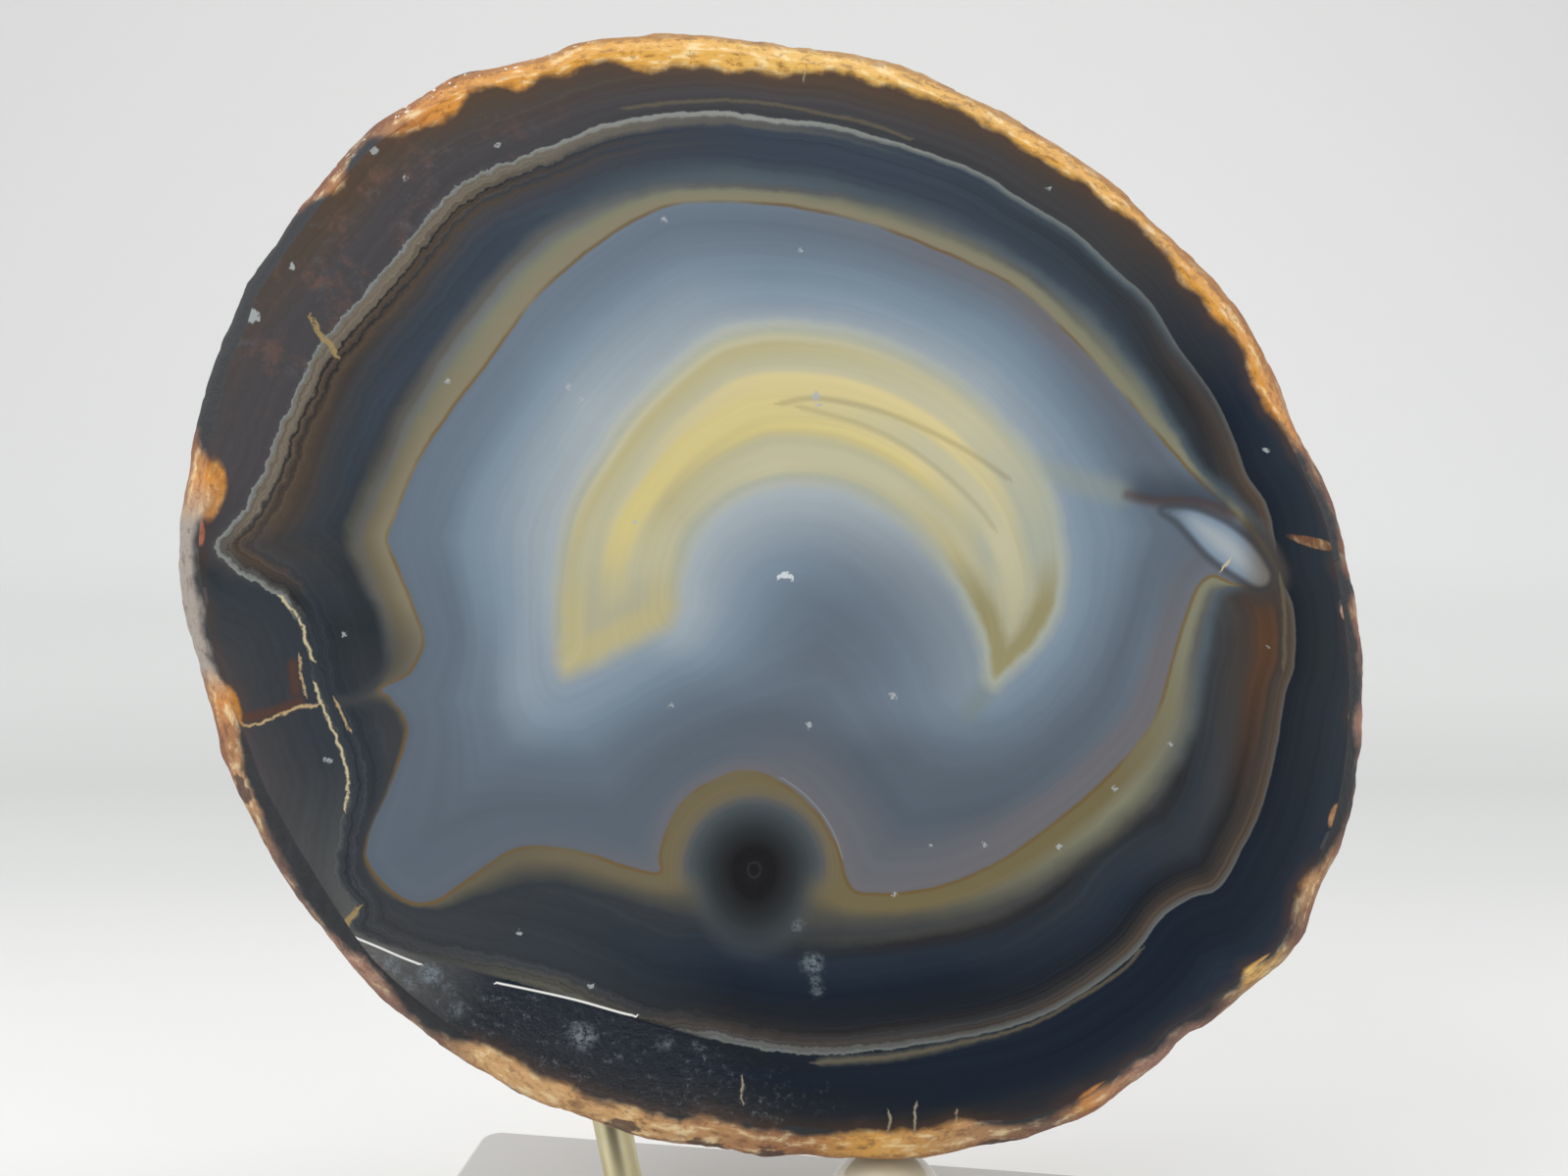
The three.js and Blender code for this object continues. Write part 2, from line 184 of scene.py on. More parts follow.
HAIR_ABOVE = [[(1, 19.8), (4, 20.3), (8, 19.8), (12, 18.7), (16, 17), (20, 14.9), (24, 12.2)]]
HAIR_BELOW = [[(3, 19.4), (6, 18.6), (10, 17.3), (14, 15.2), (18, 12.2), (21, 9.3), (22.6, 7.2)]]
# Painted highlights: white lines where light catches the edge of the ground flat
GLINT_LINES = [
    [(-44, -34), (-42.6, -34.7), (-40, -35.8), (-38, -36.7), (-36, -37.5)],
    [(-28, -39.4), (-25, -40), (-20, -41.1), (-15, -42.5), (-14, -42.7)],
]
# A faint painted highlight beside the brown line's arch
ARCH_GLINT = [[(1, -18.4), (3, -19.8), (5, -21.9), (6.4, -24.2), (7.2, -26.5)]]
SCRATCHES = [
    [(12, -52.8), (12, -54.8)], [(14.7, -51.8), (14.7, -54.8)], [(18.8, -52.6), (18.8, -54.8)],
    [(-3, -49.4), (-3, -51.8)], [(3.3, 53), (3.3, 55.2)],
]

# Soft strokes on the cut
TONGUE = [[(27, 13.2), (31, 11.9), (35.5, 10.6)], [(22.4, -8.6), (21.4, -10), (20.3, -11.8)]]
EMBER = [[(36.3, 10.4), (39, 9.8), (42, 9.8), (44.5, 9.4), (47, 8.3)]]
CRACK_HAZE = [[(-53.5, -12.3), (-50.5, -11.6), (-48.2, -10.6)], [(-48.9, -6.8), (-48.6, -9.5)]]
CORE_SHADE = (9, -4.5, 0)

# Patches of bright rind that reach into the cut: centre, half width, half height, turn in degrees
RIND_PATCHES = [
    ((-57.3, 11, 0), 1.5, 3.1, -8, "#dd9540"),
    ((-58.6, 6.9, 0), 0.7, 1.6, 5, "#b8542c"),
    ((-55.3, -11.6, 0), 1.1, 2.4, 12, "#e39a3c"),
    ((-54.4, -15.8, 0), 0.9, 2.4, 20, "#b58450"),
    ((50.1, -37.3, 0), 2.1, 0.5, 30, "#e3b568"),
    ((33.2, -50.4, 0), 2.0, 0.6, 28, "#cf9150"),
    ((55.2, 5.6, 0), 2.6, 0.5, -14, "#5f4638"),
    ((58.6, -1.6, 0), 0.5, 0.9, 20, "#c3a08a"),
    ((59.2, -12.2, 0), 0.4, 0.8, 0, "#cf9455"),
    ((57.4, -22.2, 0), 0.5, 1.2, -20, "#b98a62"),
]

# Dark facets low on the rind, given in the same way
RIND_FACETS = [
    ((-15.5, -55.2, 0), 2.2, 0.9, -12), ((-7.2, -57.2, 0), 1.9, 0.9, -8),
    ((-0.4, -58.2, 0), 1.8, 0.9, 0), ((-54.6, -19.8, 0), 0.8, 1.6, 25),
    ((23.5, -56.8, 0), 2.0, 0.8, 12), ((-27, -52.3, 0), 2.4, 0.7, -28),
    ((-31, 55.3, 0), 2.5, 0.8, 20),
]

# Small white specks and scuffs on the cut: (u, v, radius)
SPECKS = [
    (4.5, 20.5, 0.45), (4.8, 19.6, 0.25),
    (12.4, -10, 0.35), (3.8, -13.1, 0.28), (-10.3, -11, 0.22), (12.5, -30.3, 0.2), (16.1, -25.3, 0.18), (21.7, -25.2, 0.18),
    (29.3, -25.5, 0.25), (35, -19.5, 0.2), (40.7, -15, 0.2), (50.6, -5.1, 0.1),
    (-33, 22.1, 0.3), (-20.8, 21.4, 0.3), (-19.4, 20.2, 0.22), (-11, 38.6, 0.3), (3, 35.4, 0.18),
    (-37.5, 42.9, 0.25), (-28, 46.2, 0.2), (-13.9, 7.7, 0.2), (28.3, 41.7, 0.2), (50.4, 15, 0.25),
    (-43.7, -3.8, 0.25), (-45.3, -16.6, 0.3), (-25.6, -34.3, 0.28), (-18.4, -39.6, 0.25),
    (-53, 28.7, 0.7), (-42, 45.6, 0.45), (-40.6, 45.6, 0.4), (-48.9, 33.8, 0.3),
]
SCUFFS = [
    (-39, -37.8, 1.0), (-35, -38.7, 1.1), (-32.3, -42.4, 1.0), (-19.5, -45.2, 1.5),
    (-11, -45.8, 0.6), (-37, -39.6, 0.8), (-33, -40.4, 0.7), (4.2, -37.4, 0.9), (4.4, -39, 0.35),
    (4.7, -40.1, 0.35), (2.7, -33.5, 0.35), (-30.5, -44, 0.8), (-41, -37, 0.7),
]

# How far the warm rind reaches in from the outline: (direction in degrees, millimetres)
WARM_RIND = [
    (-180, 1.3), (-176, 1.0), (-172, 1.0), (-170, 2.2), (-167, 2.0), (-164, 1.2), (-159, 1.2),
    (-154, 0.8), (-149, 0.3), (-146, -0.2), (-142, 0.3), (-138, 1.1), (-134, 0.8), (-129, 0.0),
    (-126, 0.6), (-124, 1.8), (-121, 2.3), (-113, 2.4), (-109, 1.9), (-105, 2.3), (-102, 2.4),
    (-100, 2.1), (-97, 3.0), (-93, 2.2), (-90, 2.4), (-87, 1.7), (-84, 2.4), (-78, 2.6),
    (-70, 2.4), (-67, 1.3), (-62, 0.5), (-58, 1.4), (-55, 0.8), (-50, 0.4), (-44, 0.3),
    (-40, 0.3), (-38, 1.5), (-36, 0.7), (-33, 0.3), (-30, 1.2), (-27, 1.0), (-22, -0.3),
    (-15, -0.6), (-12, 0.1), (-8, -0.7), (-1, 0.2), (1, -0.5), (3, 0.5), (6, -0.2), (10, -0.2),
    (15, 0.1), (18, 0.9), (21, 1.1), (24, 1.7), (28, 1.2), (33, 1.6), (38, 1.4), (41, 0.8),
    (45, 0.9), (49, 1.1), (55, 1.4), (60, 1.6), (63, 1.0), (66, 1.4), (70, 1.3), (74, 1.6),
    (80, 1.7), (83, 1.4), (87, 2.4), (91, 2.7), (95, 3.2), (97, 2.6), (100, 2.7), (103, 3.0),
    (107, 2.0), (113, 1.6), (116, 2.3), (119, 1.1), (121, 1.3), (123, 3.0), (126, 2.5),
    (129, 1.5), (131, 0.2), (134, 0.1), (136.5, 1.7), (139, 0.1), (142, -0.9), (155, -1.1),
    (163, -0.9), (166, 1.0), (168, 2.8), (170, 2.6), (172, 1.6), (175, 1.1),
]

# The stand's sizes
PEG_RADIUS = 2.1
PEG_CHAMFER = 0.3
BALL = {"radius": 6.6, "socket": 6.0}
CAP = {"radius": 3.0, "length": 3.4, "socket": 1.8}
GAP = 0.3
LATHE_STEPS = 96
PEGS = {
    "left": ((-15.1, 8), (-0.177, 0)),
    "front": ((12.2, -0.8), (0, 0)),
    "back": ((13.2, 17), (0.12, 0.25)),
}

# Named tints of the agate
COAL = "#22262c"
INK = "#1d2530"
NAVY = "#28313d"
SLATE = "#3a434e"
DUSK = "#33393f"
SMOKE = "#3d3f42"
SOOT = "#2d2d2e"
GRAPHITE = "#2d3236"
PLUM = "#484648"
UMBER = "#433d39"
COCOA = "#52473d"
RUST = "#563f30"
MOSS = "#504f48"
ASH = "#5a5a58"
BARK = "#6c6458"
KHAKI = "#6b6350"
OLIVE = "#837c67"
OCHRE = "#6f6549"
LICHEN = "#7c7c68"
BLUE_GREY = "#505b62"
PEWTER = "#6d7270"
PEARL_GREY = "#8b8e89"
LILAC = "#69686c"
SHALE_DARK = "#525c67"
SHALE = "#59636e"
FLINT = "#616d79"
STEEL = "#6a7683"
DENIM = "#738391"
FOG = "#7d8d9b"
MIST = "#8794a0"
HAZE = "#929da5"
PEARL = "#9ca6ac"
SILVER = "#a8aeae"
SAGE = "#a2a697"
PUTTY = "#b1ad90"
OLIVE_STRAW = "#b1a880"
STRAW = "#d0c28f"
GOLD = "#c9bb80"
SAND = "#bbb698"
DEEP_OLIVE = "#918a66"
FADED_OLIVE = "#a7a48b"

# Named tints of the eye, the lens and the rind
PUPIL = "#201f21"
IRIS_DARK = "#2d3032"
IRIS = "#3b4144"
IRIS_EDGE = "#4b5256"
EMBER_BROWN = "#513b33"
LENS_SHADE = "#373a3f"
RIND_DARK = "#25272b"
RIND_GREY = "#9f968c"
RIND_BROWN = "#75584a"
RIND_RUSSET = "#a06c44"
RIND_PINK = "#b08872"
RIND_TAN = "#bb8d5d"
RIND_CREAM = "#d3a56e"
RIND_ORANGE = "#cf8d45"
RIND_AMBER = "#dba24c"
RIND_YELLOW = "#e3b664"
RIND_SKIN = "#6d3b29"

# Each table below is (direction in degrees, ramp), and a ramp is (millimetres, tint) from its line

OUTSIDE_GREY_LINE = [
    (-180, [(0, DUSK), (8, SMOKE)]),
    (-160, [(0, DUSK), (5, SMOKE), (8, PLUM)]),
    (-138, [(0, ASH), (3, ASH)]),
    (-125, [(0, INK), (3, COAL), (9, COAL)]),
    (-95, [(0, COAL), (3, INK), (4.5, COAL), (7, SOOT)]),
    (-70, [(0, INK), (6, INK), (8, SOOT)]),
    (-40, [(0, INK), (5, INK), (8, NAVY)]),
    (-5, [(0, COAL), (3, GRAPHITE), (6, DUSK)]),
    (22, [(0, INK), (4, NAVY), (6, SMOKE)]),
    (45, [(0, SMOKE), (4, UMBER)]),
    (90, [(0, SMOKE), (2, PLUM), (4, COCOA)]),
    (135, [(0, PLUM), (4, PLUM), (7, COCOA)]),
    (168, [(0, PLUM), (5, PLUM)]),
    (176, [(0, PLUM), (2, GRAPHITE)]),
]

INSIDE_GREY_LINE = [
    (-180, [(0, PEARL_GREY), (0.5, ASH), (0.9, SOOT), (2.5, DUSK), (9, GRAPHITE)]),
    (-176, [(0, SMOKE), (0.4, DUSK), (3, GRAPHITE), (9, GRAPHITE)]),
    (-160, [(0, ASH), (0.25, SMOKE), (0.5, DUSK), (3, DUSK), (5, SMOKE)]),
    (-140, [(0, ASH), (0.5, SMOKE), (2, SMOKE), (4, SMOKE)]),
    (-120, [(0, MOSS), (1, MOSS), (1.9, SMOKE), (3.5, DUSK), (9, DUSK), (12, SMOKE)]),
    (-95, [(0, PEWTER), (0.7, ASH), (1.3, UMBER), (2.4, SOOT), (4, COAL), (6, INK), (9, NAVY),
           (12, GRAPHITE)]),
    (-65, [(0, PEWTER), (0.4, ASH), (0.8, UMBER), (1.5, SMOKE), (2.2, SOOT), (3, COAL), (6, INK),
           (9, NAVY), (10.5, SOOT), (12, MOSS)]),
    (-40, [(0, PEWTER), (0.3, ASH), (0.8, COCOA), (1.3, UMBER), (2, SOOT), (2.6, COAL), (5, NAVY),
           (8, DUSK), (10, SOOT), (11.2, SMOKE)]),
    (-24, [(0, ASH), (0.4, COCOA), (1.4, UMBER), (3, SOOT), (5, SMOKE), (7, DUSK), (9, SOOT),
           (10, SMOKE)]),
    (-5, [(0, ASH), (0.3, COCOA), (1.4, UMBER), (2.2, RUST), (3.7, RUST), (4.9, UMBER), (5.6, UMBER),
          (8, SMOKE), (9.5, BLUE_GREY)]),
    (14, [(0, ASH), (0.5, COCOA), (1.2, UMBER), (3.2, GRAPHITE), (5, DUSK), (6.6, BLUE_GREY)]),
    (25, [(0, ASH), (0.4, SMOKE), (1.2, UMBER), (2.6, SOOT), (4.4, DUSK), (6.5, BLUE_GREY)]),
    (45, [(0, PEWTER), (0.5, BLUE_GREY), (1, DUSK), (2, DUSK), (5, SLATE), (7.5, BLUE_GREY)]),
    (72, [(0, PEARL_GREY), (0.3, PEWTER), (0.6, SLATE), (4.5, SLATE), (7, BLUE_GREY)]),
    (92, [(0, PEARL_GREY), (0.35, PEARL_GREY), (0.6, ASH), (1.1, ASH), (1.5, SLATE), (4.5, SLATE),
          (6.3, BLUE_GREY)]),
    (128, [(0, PEARL_GREY), (0.2, PEWTER), (0.4, BARK), (1.4, BARK), (1.8, SOOT), (2.2, COCOA),
           (2.7, SMOKE), (3.2, COCOA), (3.8, PLUM), (6, SLATE), (9, SLATE), (10.5, ASH)]),
    (152, [(0, PEARL_GREY), (0.2, PEWTER), (0.4, BARK), (1.5, BARK), (1.8, SOOT), (2.2, COCOA),
           (2.6, SOOT), (3.1, COCOA), (4, UMBER), (5.2, SMOKE), (8.5, SLATE), (10.5, SMOKE)]),
    (171, [(0, PEARL_GREY), (0.35, PEWTER), (0.5, BARK), (1.4, BARK), (1.7, SMOKE), (2.1, COCOA),
           (2.6, UMBER), (3.2, COCOA), (5, UMBER), (6.5, SMOKE), (9.5, DUSK), (11.5, MOSS)]),
    (176, [(0, PEARL_GREY), (0.6, ASH), (1.2, UMBER), (2, COCOA), (3, SMOKE), (9, GRAPHITE)]),
]

# Across the olive band, from its outer edge (0) to the brown line (1)
OLIVE_BAND = [
    (-180, [(0, ASH), (0.4, KHAKI), (1, OLIVE)]),
    (-165, [(0, SMOKE), (0.6, MOSS), (1, ASH)]),
    (-150, [(0, SMOKE), (1, MOSS)]),
    (-130, [(0, DUSK), (0.35, MOSS), (0.7, KHAKI), (1, KHAKI)]),
    (-65, [(0, SMOKE), (0.35, MOSS), (0.6, OCHRE), (1, OCHRE)]),
    (-30, [(0, MOSS), (0.4, LICHEN), (0.7, OCHRE), (1, OCHRE)]),
    (-5, [(0, BLUE_GREY), (0.35, ASH), (0.65, LICHEN), (1, LICHEN)]),
    (20, [(0, BLUE_GREY), (0.45, LICHEN), (1, LICHEN)]),
    (50, [(0, SLATE), (0.3, BLUE_GREY), (0.5, ASH), (0.68, LICHEN), (0.9, OLIVE), (1, PEWTER)]),
    (90, [(0, BLUE_GREY), (0.25, ASH), (0.5, LICHEN), (0.85, OLIVE), (1, PEWTER)]),
    (135, [(0, ASH), (0.3, PEWTER), (0.5, LICHEN), (0.75, OLIVE), (1, OLIVE)]),
    (172, [(0, MOSS), (0.25, ASH), (0.5, KHAKI), (1, OLIVE)]),
]

# Between the brown line (0) and the crescent (1); the blue-grey grows lighter towards the crescent, partly the
# agate's own banding and partly a painted glow of light scattered inside the stone
HEART = [
    (-180, [(0, FLINT), (0.28, FLINT), (0.45, DENIM), (0.62, FOG), (0.85, HAZE), (1, PEARL)]),
    (-160, [(0, SHALE), (0.3, FLINT), (0.5, STEEL), (0.7, MIST), (1, MIST)]),
    (-145, [(0, SHALE), (0.3, SHALE), (0.5, FLINT), (0.7, DENIM), (1, FOG)]),
    (-110, [(0, LILAC), (0.12, SHALE), (0.3, SHALE), (0.45, FLINT), (0.65, STEEL), (1, FOG)]),
    (-45, [(0, LILAC), (0.12, LILAC), (0.3, SHALE_DARK), (0.5, SHALE), (0.65, FLINT), (1, DENIM)]),
    (-8, [(0, LILAC), (0.15, LILAC), (0.25, FLINT), (0.4, SHALE), (0.5, FLINT), (0.63, STEEL),
          (0.77, DENIM), (0.9, FOG), (1, MIST)]),
    (15, [(0, FLINT), (0.1, SHALE), (0.25, SHALE), (0.4, FLINT), (0.6, DENIM), (0.85, FOG),
          (1, HAZE)]),
    (45, [(0, LILAC), (0.08, LILAC), (0.25, STEEL), (0.4, DENIM), (0.6, FOG), (0.8, HAZE),
          (1, PEARL)]),
    (90, [(0, STEEL), (0.15, FLINT), (0.33, STEEL), (0.49, DENIM), (0.57, DENIM), (0.65, FOG),
          (0.73, FOG), (0.81, MIST), (0.89, HAZE), (1, SILVER)]),
    (135, [(0, STEEL), (0.15, STEEL), (0.3, DENIM), (0.42, FOG), (0.6, HAZE), (0.75, PEARL),
           (1, SILVER)]),
]
# The core, lighter towards the crescent in the same way: partly its own colour, partly painted glow
CORE = [
    (0.3, FLINT), (0.46, STEEL), (0.6, DENIM), (0.7, FOG), (0.77, MIST), (0.85, HAZE), (0.93, PEARL),
    (1, SILVER),
]

# Across the crescent, from its outer edge (0) to its inner one (1)
CRESCENT = [
    (-180, [(0, SILVER), (0.1, OLIVE_STRAW), (0.22, PUTTY), (0.33, SAND), (0.4, GOLD), (0.56, GOLD),
            (0.64, PUTTY), (0.9, PUTTY), (1, SAGE)]),
    (-10, [(0, SAGE), (0.3, SAGE), (0.5, SAND), (0.7, SAGE), (1, SAGE)]),
    (12, [(0, SAGE), (0.26, SAGE), (0.36, PUTTY), (0.4, SAND), (0.55, SAND), (0.64, SAGE),
          (0.76, PUTTY), (0.88, OLIVE_STRAW), (1, SAGE)]),
    (42, [(0, SAGE), (0.08, SAND), (0.26, SAND), (0.3, STRAW), (0.4, STRAW), (0.45, SAND),
          (0.56, SAND), (0.61, STRAW), (0.69, GOLD), (0.76, PUTTY), (0.86, SAND), (0.94, PUTTY),
          (1, SAGE)]),
    (90, [(0, SAGE), (0.06, SAND), (0.1, OLIVE_STRAW), (0.22, PUTTY), (0.27, SAND), (0.31, STRAW),
          (0.66, GOLD), (0.73, PUTTY), (0.86, SAND), (0.95, SAND), (1, SAGE)]),
    (138, [(0, SAGE), (0.06, SAND), (0.12, OLIVE_STRAW), (0.26, PUTTY), (0.36, SAND), (0.42, GOLD),
           (0.56, GOLD), (0.64, OLIVE_STRAW), (0.88, PUTTY), (1, SAGE)]),
    (172, [(0, SAGE), (0.08, OLIVE_STRAW), (0.17, PUTTY), (0.3, PUTTY), (0.38, GOLD), (0.52, GOLD),
           (0.62, SAND), (0.9, SAND), (1, SAGE)]),
]

# From the crescent's border inwards in millimetres, at its left end and at its right one
LEFT_END = [
    (0, FADED_OLIVE), (1.0, OLIVE_STRAW), (2.2, OLIVE_STRAW), (3.4, FADED_OLIVE), (4.6, FADED_OLIVE),
]
RIGHT_END = [
    (0, SAGE), (0.7, DEEP_OLIVE), (1.7, DEEP_OLIVE), (2.9, FADED_OLIVE), (4.0, PUTTY),
]

# The eye, from its middle outwards
EYE = [
    (0, PUPIL), (0.45, PUPIL), (0.65, IRIS_DARK), (0.85, PUPIL), (2.0, PUPIL), (3.8, IRIS_DARK),
    (5.2, IRIS), (6.5, IRIS_EDGE), (7.1, ASH), (7.8, KHAKI), (9, OCHRE),
]

# The warm rind's tint around the stone; the bright amber and yellow at the top are partly the rind's own
# colour and partly a painted glow of light shining through it
RIND_TINTS = [
    (-180, RIND_GREY), (-173, RIND_GREY), (-169.5, RIND_ORANGE), (-166, RIND_RUSSET),
    (-160, RIND_TAN), (-152, RIND_BROWN), (-140, RIND_PINK), (-128, RIND_BROWN),
    (-122, RIND_CREAM), (-106, RIND_CREAM), (-97, RIND_TAN), (-88, RIND_RUSSET),
    (-80, RIND_AMBER), (-70, RIND_TAN), (-62, RIND_BROWN), (-58, RIND_ORANGE),
    (-52, RIND_PINK), (-42, RIND_BROWN), (-38, RIND_YELLOW), (-33, RIND_BROWN),
    (-28, RIND_TAN), (-20, RIND_BROWN), (-12, RIND_PINK), (4, RIND_RUSSET),
    (10, RIND_BROWN), (17, RIND_ORANGE), (45, RIND_AMBER), (88, RIND_YELLOW),
    (108, RIND_AMBER), (125, RIND_ORANGE), (132, RIND_BROWN), (137, RIND_RUSSET),
    (144, RIND_BROWN), (164, RIND_BROWN), (168, RIND_ORANGE), (173, RIND_GREY),
]


# The floor's tint by its distance behind the object, in metres: painted light close to the object and a
# painted shadow band near 0.22 m
FLOOR_TINTS = [
    (0.04, "#ededeb"), (0.1, "#dadad8"), (0.15, "#cccdcb"), (0.22, "#c3c4c2"), (0.35, "#d0d1cf"),
    (0.6, "#dcdddb"), (1.0, "#dededc"),
]


def rgba(text):
    """A tint as linear red, green, blue and alpha."""
    levels = [int(text[k:k + 2], 16) / 255 for k in (1, 3, 5)]
    return [((c + 0.055) / 1.055) ** 2.4 if c > 0.04045 else c / 12.92 for c in levels] + [1.0]


def curve(points, closed=True, steps=6):
    """Points along the smooth curve through the given ones, a centripetal Catmull-Rom."""
    p = np.array(points, float)
    if closed:
        a, b, c, d = np.roll(p, 1, 0), p, np.roll(p, -1, 0), np.roll(p, -2, 0)
    else:
        p = np.vstack([2 * p[0] - p[1], p, 2 * p[-1] - p[-2]])
        a, b, c, d = p[:-3], p[1:-2], p[2:-1], p[3:]
    first, middle, last = (
        np.sqrt(np.linalg.norm(q - r, axis=1))[:, None] for q, r in ((b, a), (c, b), (d, c))
    )
    start = ((b - a) / first - (c - a) / (first + middle) + (c - b) / middle) * middle
    end = ((c - b) / middle - (d - b) / (middle + last) + (d - c) / last) * middle
    f = (np.arange(steps) / steps)[None, :, None]
    b, c, start, end = (q[:, None, :] for q in (b, c, start, end))
    made = b + start * f + (3 * (c - b) - 2 * start - end) * f**2 + (2 * (b - c) + start + end) * f**3
    made = made.reshape(-1, p.shape[1])
    return made if closed else np.vstack([made, points[-1]])


def nearest(points, line):
    """Distance from each point to a line of points, and the same with a sign for its side."""
    best = np.full(len(points), np.inf)
    side = np.zeros(len(points))
    for start, end in zip(line[:-1], line[1:]):
        along = end - start
        offset = points - start
        share = np.clip(offset @ along / (along @ along), 0, 1)
        gap = offset - share[:, None] * along
        square = (gap**2).sum(1)
        closer = square < best
        best = np.where(closer, square, best)
        cross = along[0] * offset[:, 1] - along[1] * offset[:, 0]
        side = np.where(closer, cross, side)
    distance = np.sqrt(best)
    return distance, np.where(side < 0, -distance, distance)


def inside(points, loop):
    """Whether each point lies inside a closed loop of points."""
    x, y = points.T
    odd = np.zeros(len(points), bool)
    for (x0, y0), (x1, y1) in zip(loop, np.roll(loop, -1, 0)):
        crosses = (y0 > y) != (y1 > y)
        if y0 != y1:
            odd ^= crosses & (x < x0 + (y - y0) * (x1 - x0) / (y1 - y0))
    return odd


def depth_inside(points, loop):
    """How far inside a closed loop each point lies, negative outside."""
    distance, _ = nearest(points, np.vstack([loop, loop[:1]]))
    return np.where(inside(points, loop), distance, -distance)


def around(pairs, degrees):
    """Reads a (direction, value) list that closes on itself."""
    directions, values = np.array(pairs, float).T
    return np.interp(degrees, directions, values, period=360)


# The stone

def outline_reach(degrees):
    edge = curve(OUTLINE, steps=8)
    directions = np.degrees(np.arctan2(edge[:, 1], edge[:, 0]))
    return np.interp(degrees, directions, np.hypot(*edge.T), period=360)


def flat_distance(points):
    """How far beyond the start of the ground flat each point lies."""
    along = (FLAT_END - FLAT_START) / np.linalg.norm(FLAT_END - FLAT_START)
    offset = points - FLAT_START
    return offset[:, 0] * along[1] - offset[:, 1] * along[0]


def cut_depth(points):
    """How far the surface lies under the plane of the cut: more than 0 on the ground flat."""
    beyond = flat_distance(points)
    return FLAT_SLOPE * (beyond + np.sqrt(beyond**2 + CREASE**2)) / 2


def swelling(outward):
    x, y, z = outward.T
    return (
        0.02 * np.sin(4.1 * x + 1.7 * y + 0.5)
        + 0.016 * np.sin(5.2 * y - 2.6 * z + 2.1)
        + 0.012 * np.sin(6.3 * x - 3.4 * y + 4 * z)
    )


def dimpling(outward):
    depth = np.zeros(len(outward))
    for i in range(DIMPLES):
        back = (i + 0.5) / DIMPLES
        turn = math.radians(i * 137.5)
        flat = math.sqrt(1 - back * back)
        hollow = np.array([flat * math.cos(turn), flat * math.sin(turn), back])
        width = 0.13 + 0.08 * math.sin(i * 2.3)
        depth += np.exp(-((outward - hollow) ** 2).sum(1) / width**2)
    return depth * DIMPLE_DEPTH / 60


def roughness_of_rind(points):
    """Fine lumps and pits of the natural rind, in millimetres, mostly inward."""
    lumps = [noise.fractal(Vector(p) / 5.0, 0.9, 2.1, 5) for p in points]
    pits = [noise.fractal(Vector(p) / 1.7 + Vector((40, 0, 0)), 0.8, 2.2, 3) for p in points]
    return 0.3 * np.array(lumps) - 0.28 * np.maximum(np.array(pits), 0) ** 1.5


def dome_ring(at_girth, ray, lift):
    back = math.sin(lift)
    outward = np.column_stack([ray * math.cos(lift), np.full(len(ray), back)])
    grown = 1 + (swelling(outward) - dimpling(outward)) * math.sqrt(back)
    flat = at_girth * (math.cos(lift) ** 0.85 * grown)[:, None] + DOME_CENTRE * back
    ring = np.column_stack([flat, GIRTH_DEPTH + (STONE_DEPTH - GIRTH_DEPTH) * back * grown])
    return ring + outward * roughness_of_rind(ring)[:, None]


def directions_of(count):
    turns = np.arange(count) * 2 * math.pi / count
    return np.degrees(turns), np.column_stack([np.cos(turns), np.sin(turns)])


def stone_rings():
    """Rings of (u, v, w) from the middle of the cut to the top of the dome, and how many are cut."""
    rings = []
    for k in range(1, CUT_RINGS + 1):
        count = next(c for c, limit in ((40, 8), (80, 16), (160, 32), (320, 64), (RIM_POINTS, 999))
                     if k < limit)
        degrees, ray = directions_of(count)
        reach = outline_reach(degrees) - around(RIND_SHOWING, degrees) - EDGE_BREAK
        flat = ray * (reach * k / CUT_RINGS)[:, None]
        rings.append(np.column_stack([flat, cut_depth(flat)]))

    degrees, ray = directions_of(RIM_POINTS)
    reach = outline_reach(degrees)
    edge = ray * (reach - around(RIND_SHOWING, degrees))[:, None]
    edge_depth = np.maximum(EDGE_BREAK, cut_depth(edge))
    at_girth = EYE_POINT + (ray * reach[:, None] - EYE_POINT) * (1 + GIRTH_DEPTH / EYE_DISTANCE)
    profile = curve(RIM_PROFILE, closed=False, steps=RIM_RINGS // 3)
    for k, (out, back) in enumerate(profile):
        flat = edge + (at_girth - edge) * out
        ring = np.column_stack([flat, edge_depth + (GIRTH_DEPTH - edge_depth) * back])
        rough = roughness_of_rind(ring) * min(1.0, 0.35 + k / 4)
        outward = np.column_stack([ray, np.zeros(len(ray))])
        rings.append(ring + outward * rough[:, None])

    for k in range(1, DOME_RINGS):
        lift = k / DOME_RINGS * math.pi / 2
        step = next(s for s, limit in ((1, 0.72), (2, 0.86), (4, 0.94), (8, 0.975), (16, 2))
                    if k / DOME_RINGS < limit)
        rings.append(dome_ring(at_girth[::step], ray[::step], lift))
    return rings


def bridge(near, far, count_near, count_far):
    """Triangles between two rings, where one may have twice the points of the other."""
    faces = []
    if count_far == count_near:
        for i in range(count_near):
            j = (i + 1) % count_near
            faces += [(near + i, far + i, far + j), (near + i, far + j, near + j)]
        return faces
    coarse, fine, count = (near, far, count_near) if count_far > count_near else (far, near, count_far)
    for i in range(count):
        j = (i + 1) % count
        a, b, c = fine + 2 * i, fine + 2 * i + 1, fine + (2 * i + 2) % (2 * count)
        made = [(coarse + i, a, b), (coarse + i, b, coarse + j), (coarse + j, b, c)]
        faces += made if coarse == near else [face[::-1] for face in made]
    return faces


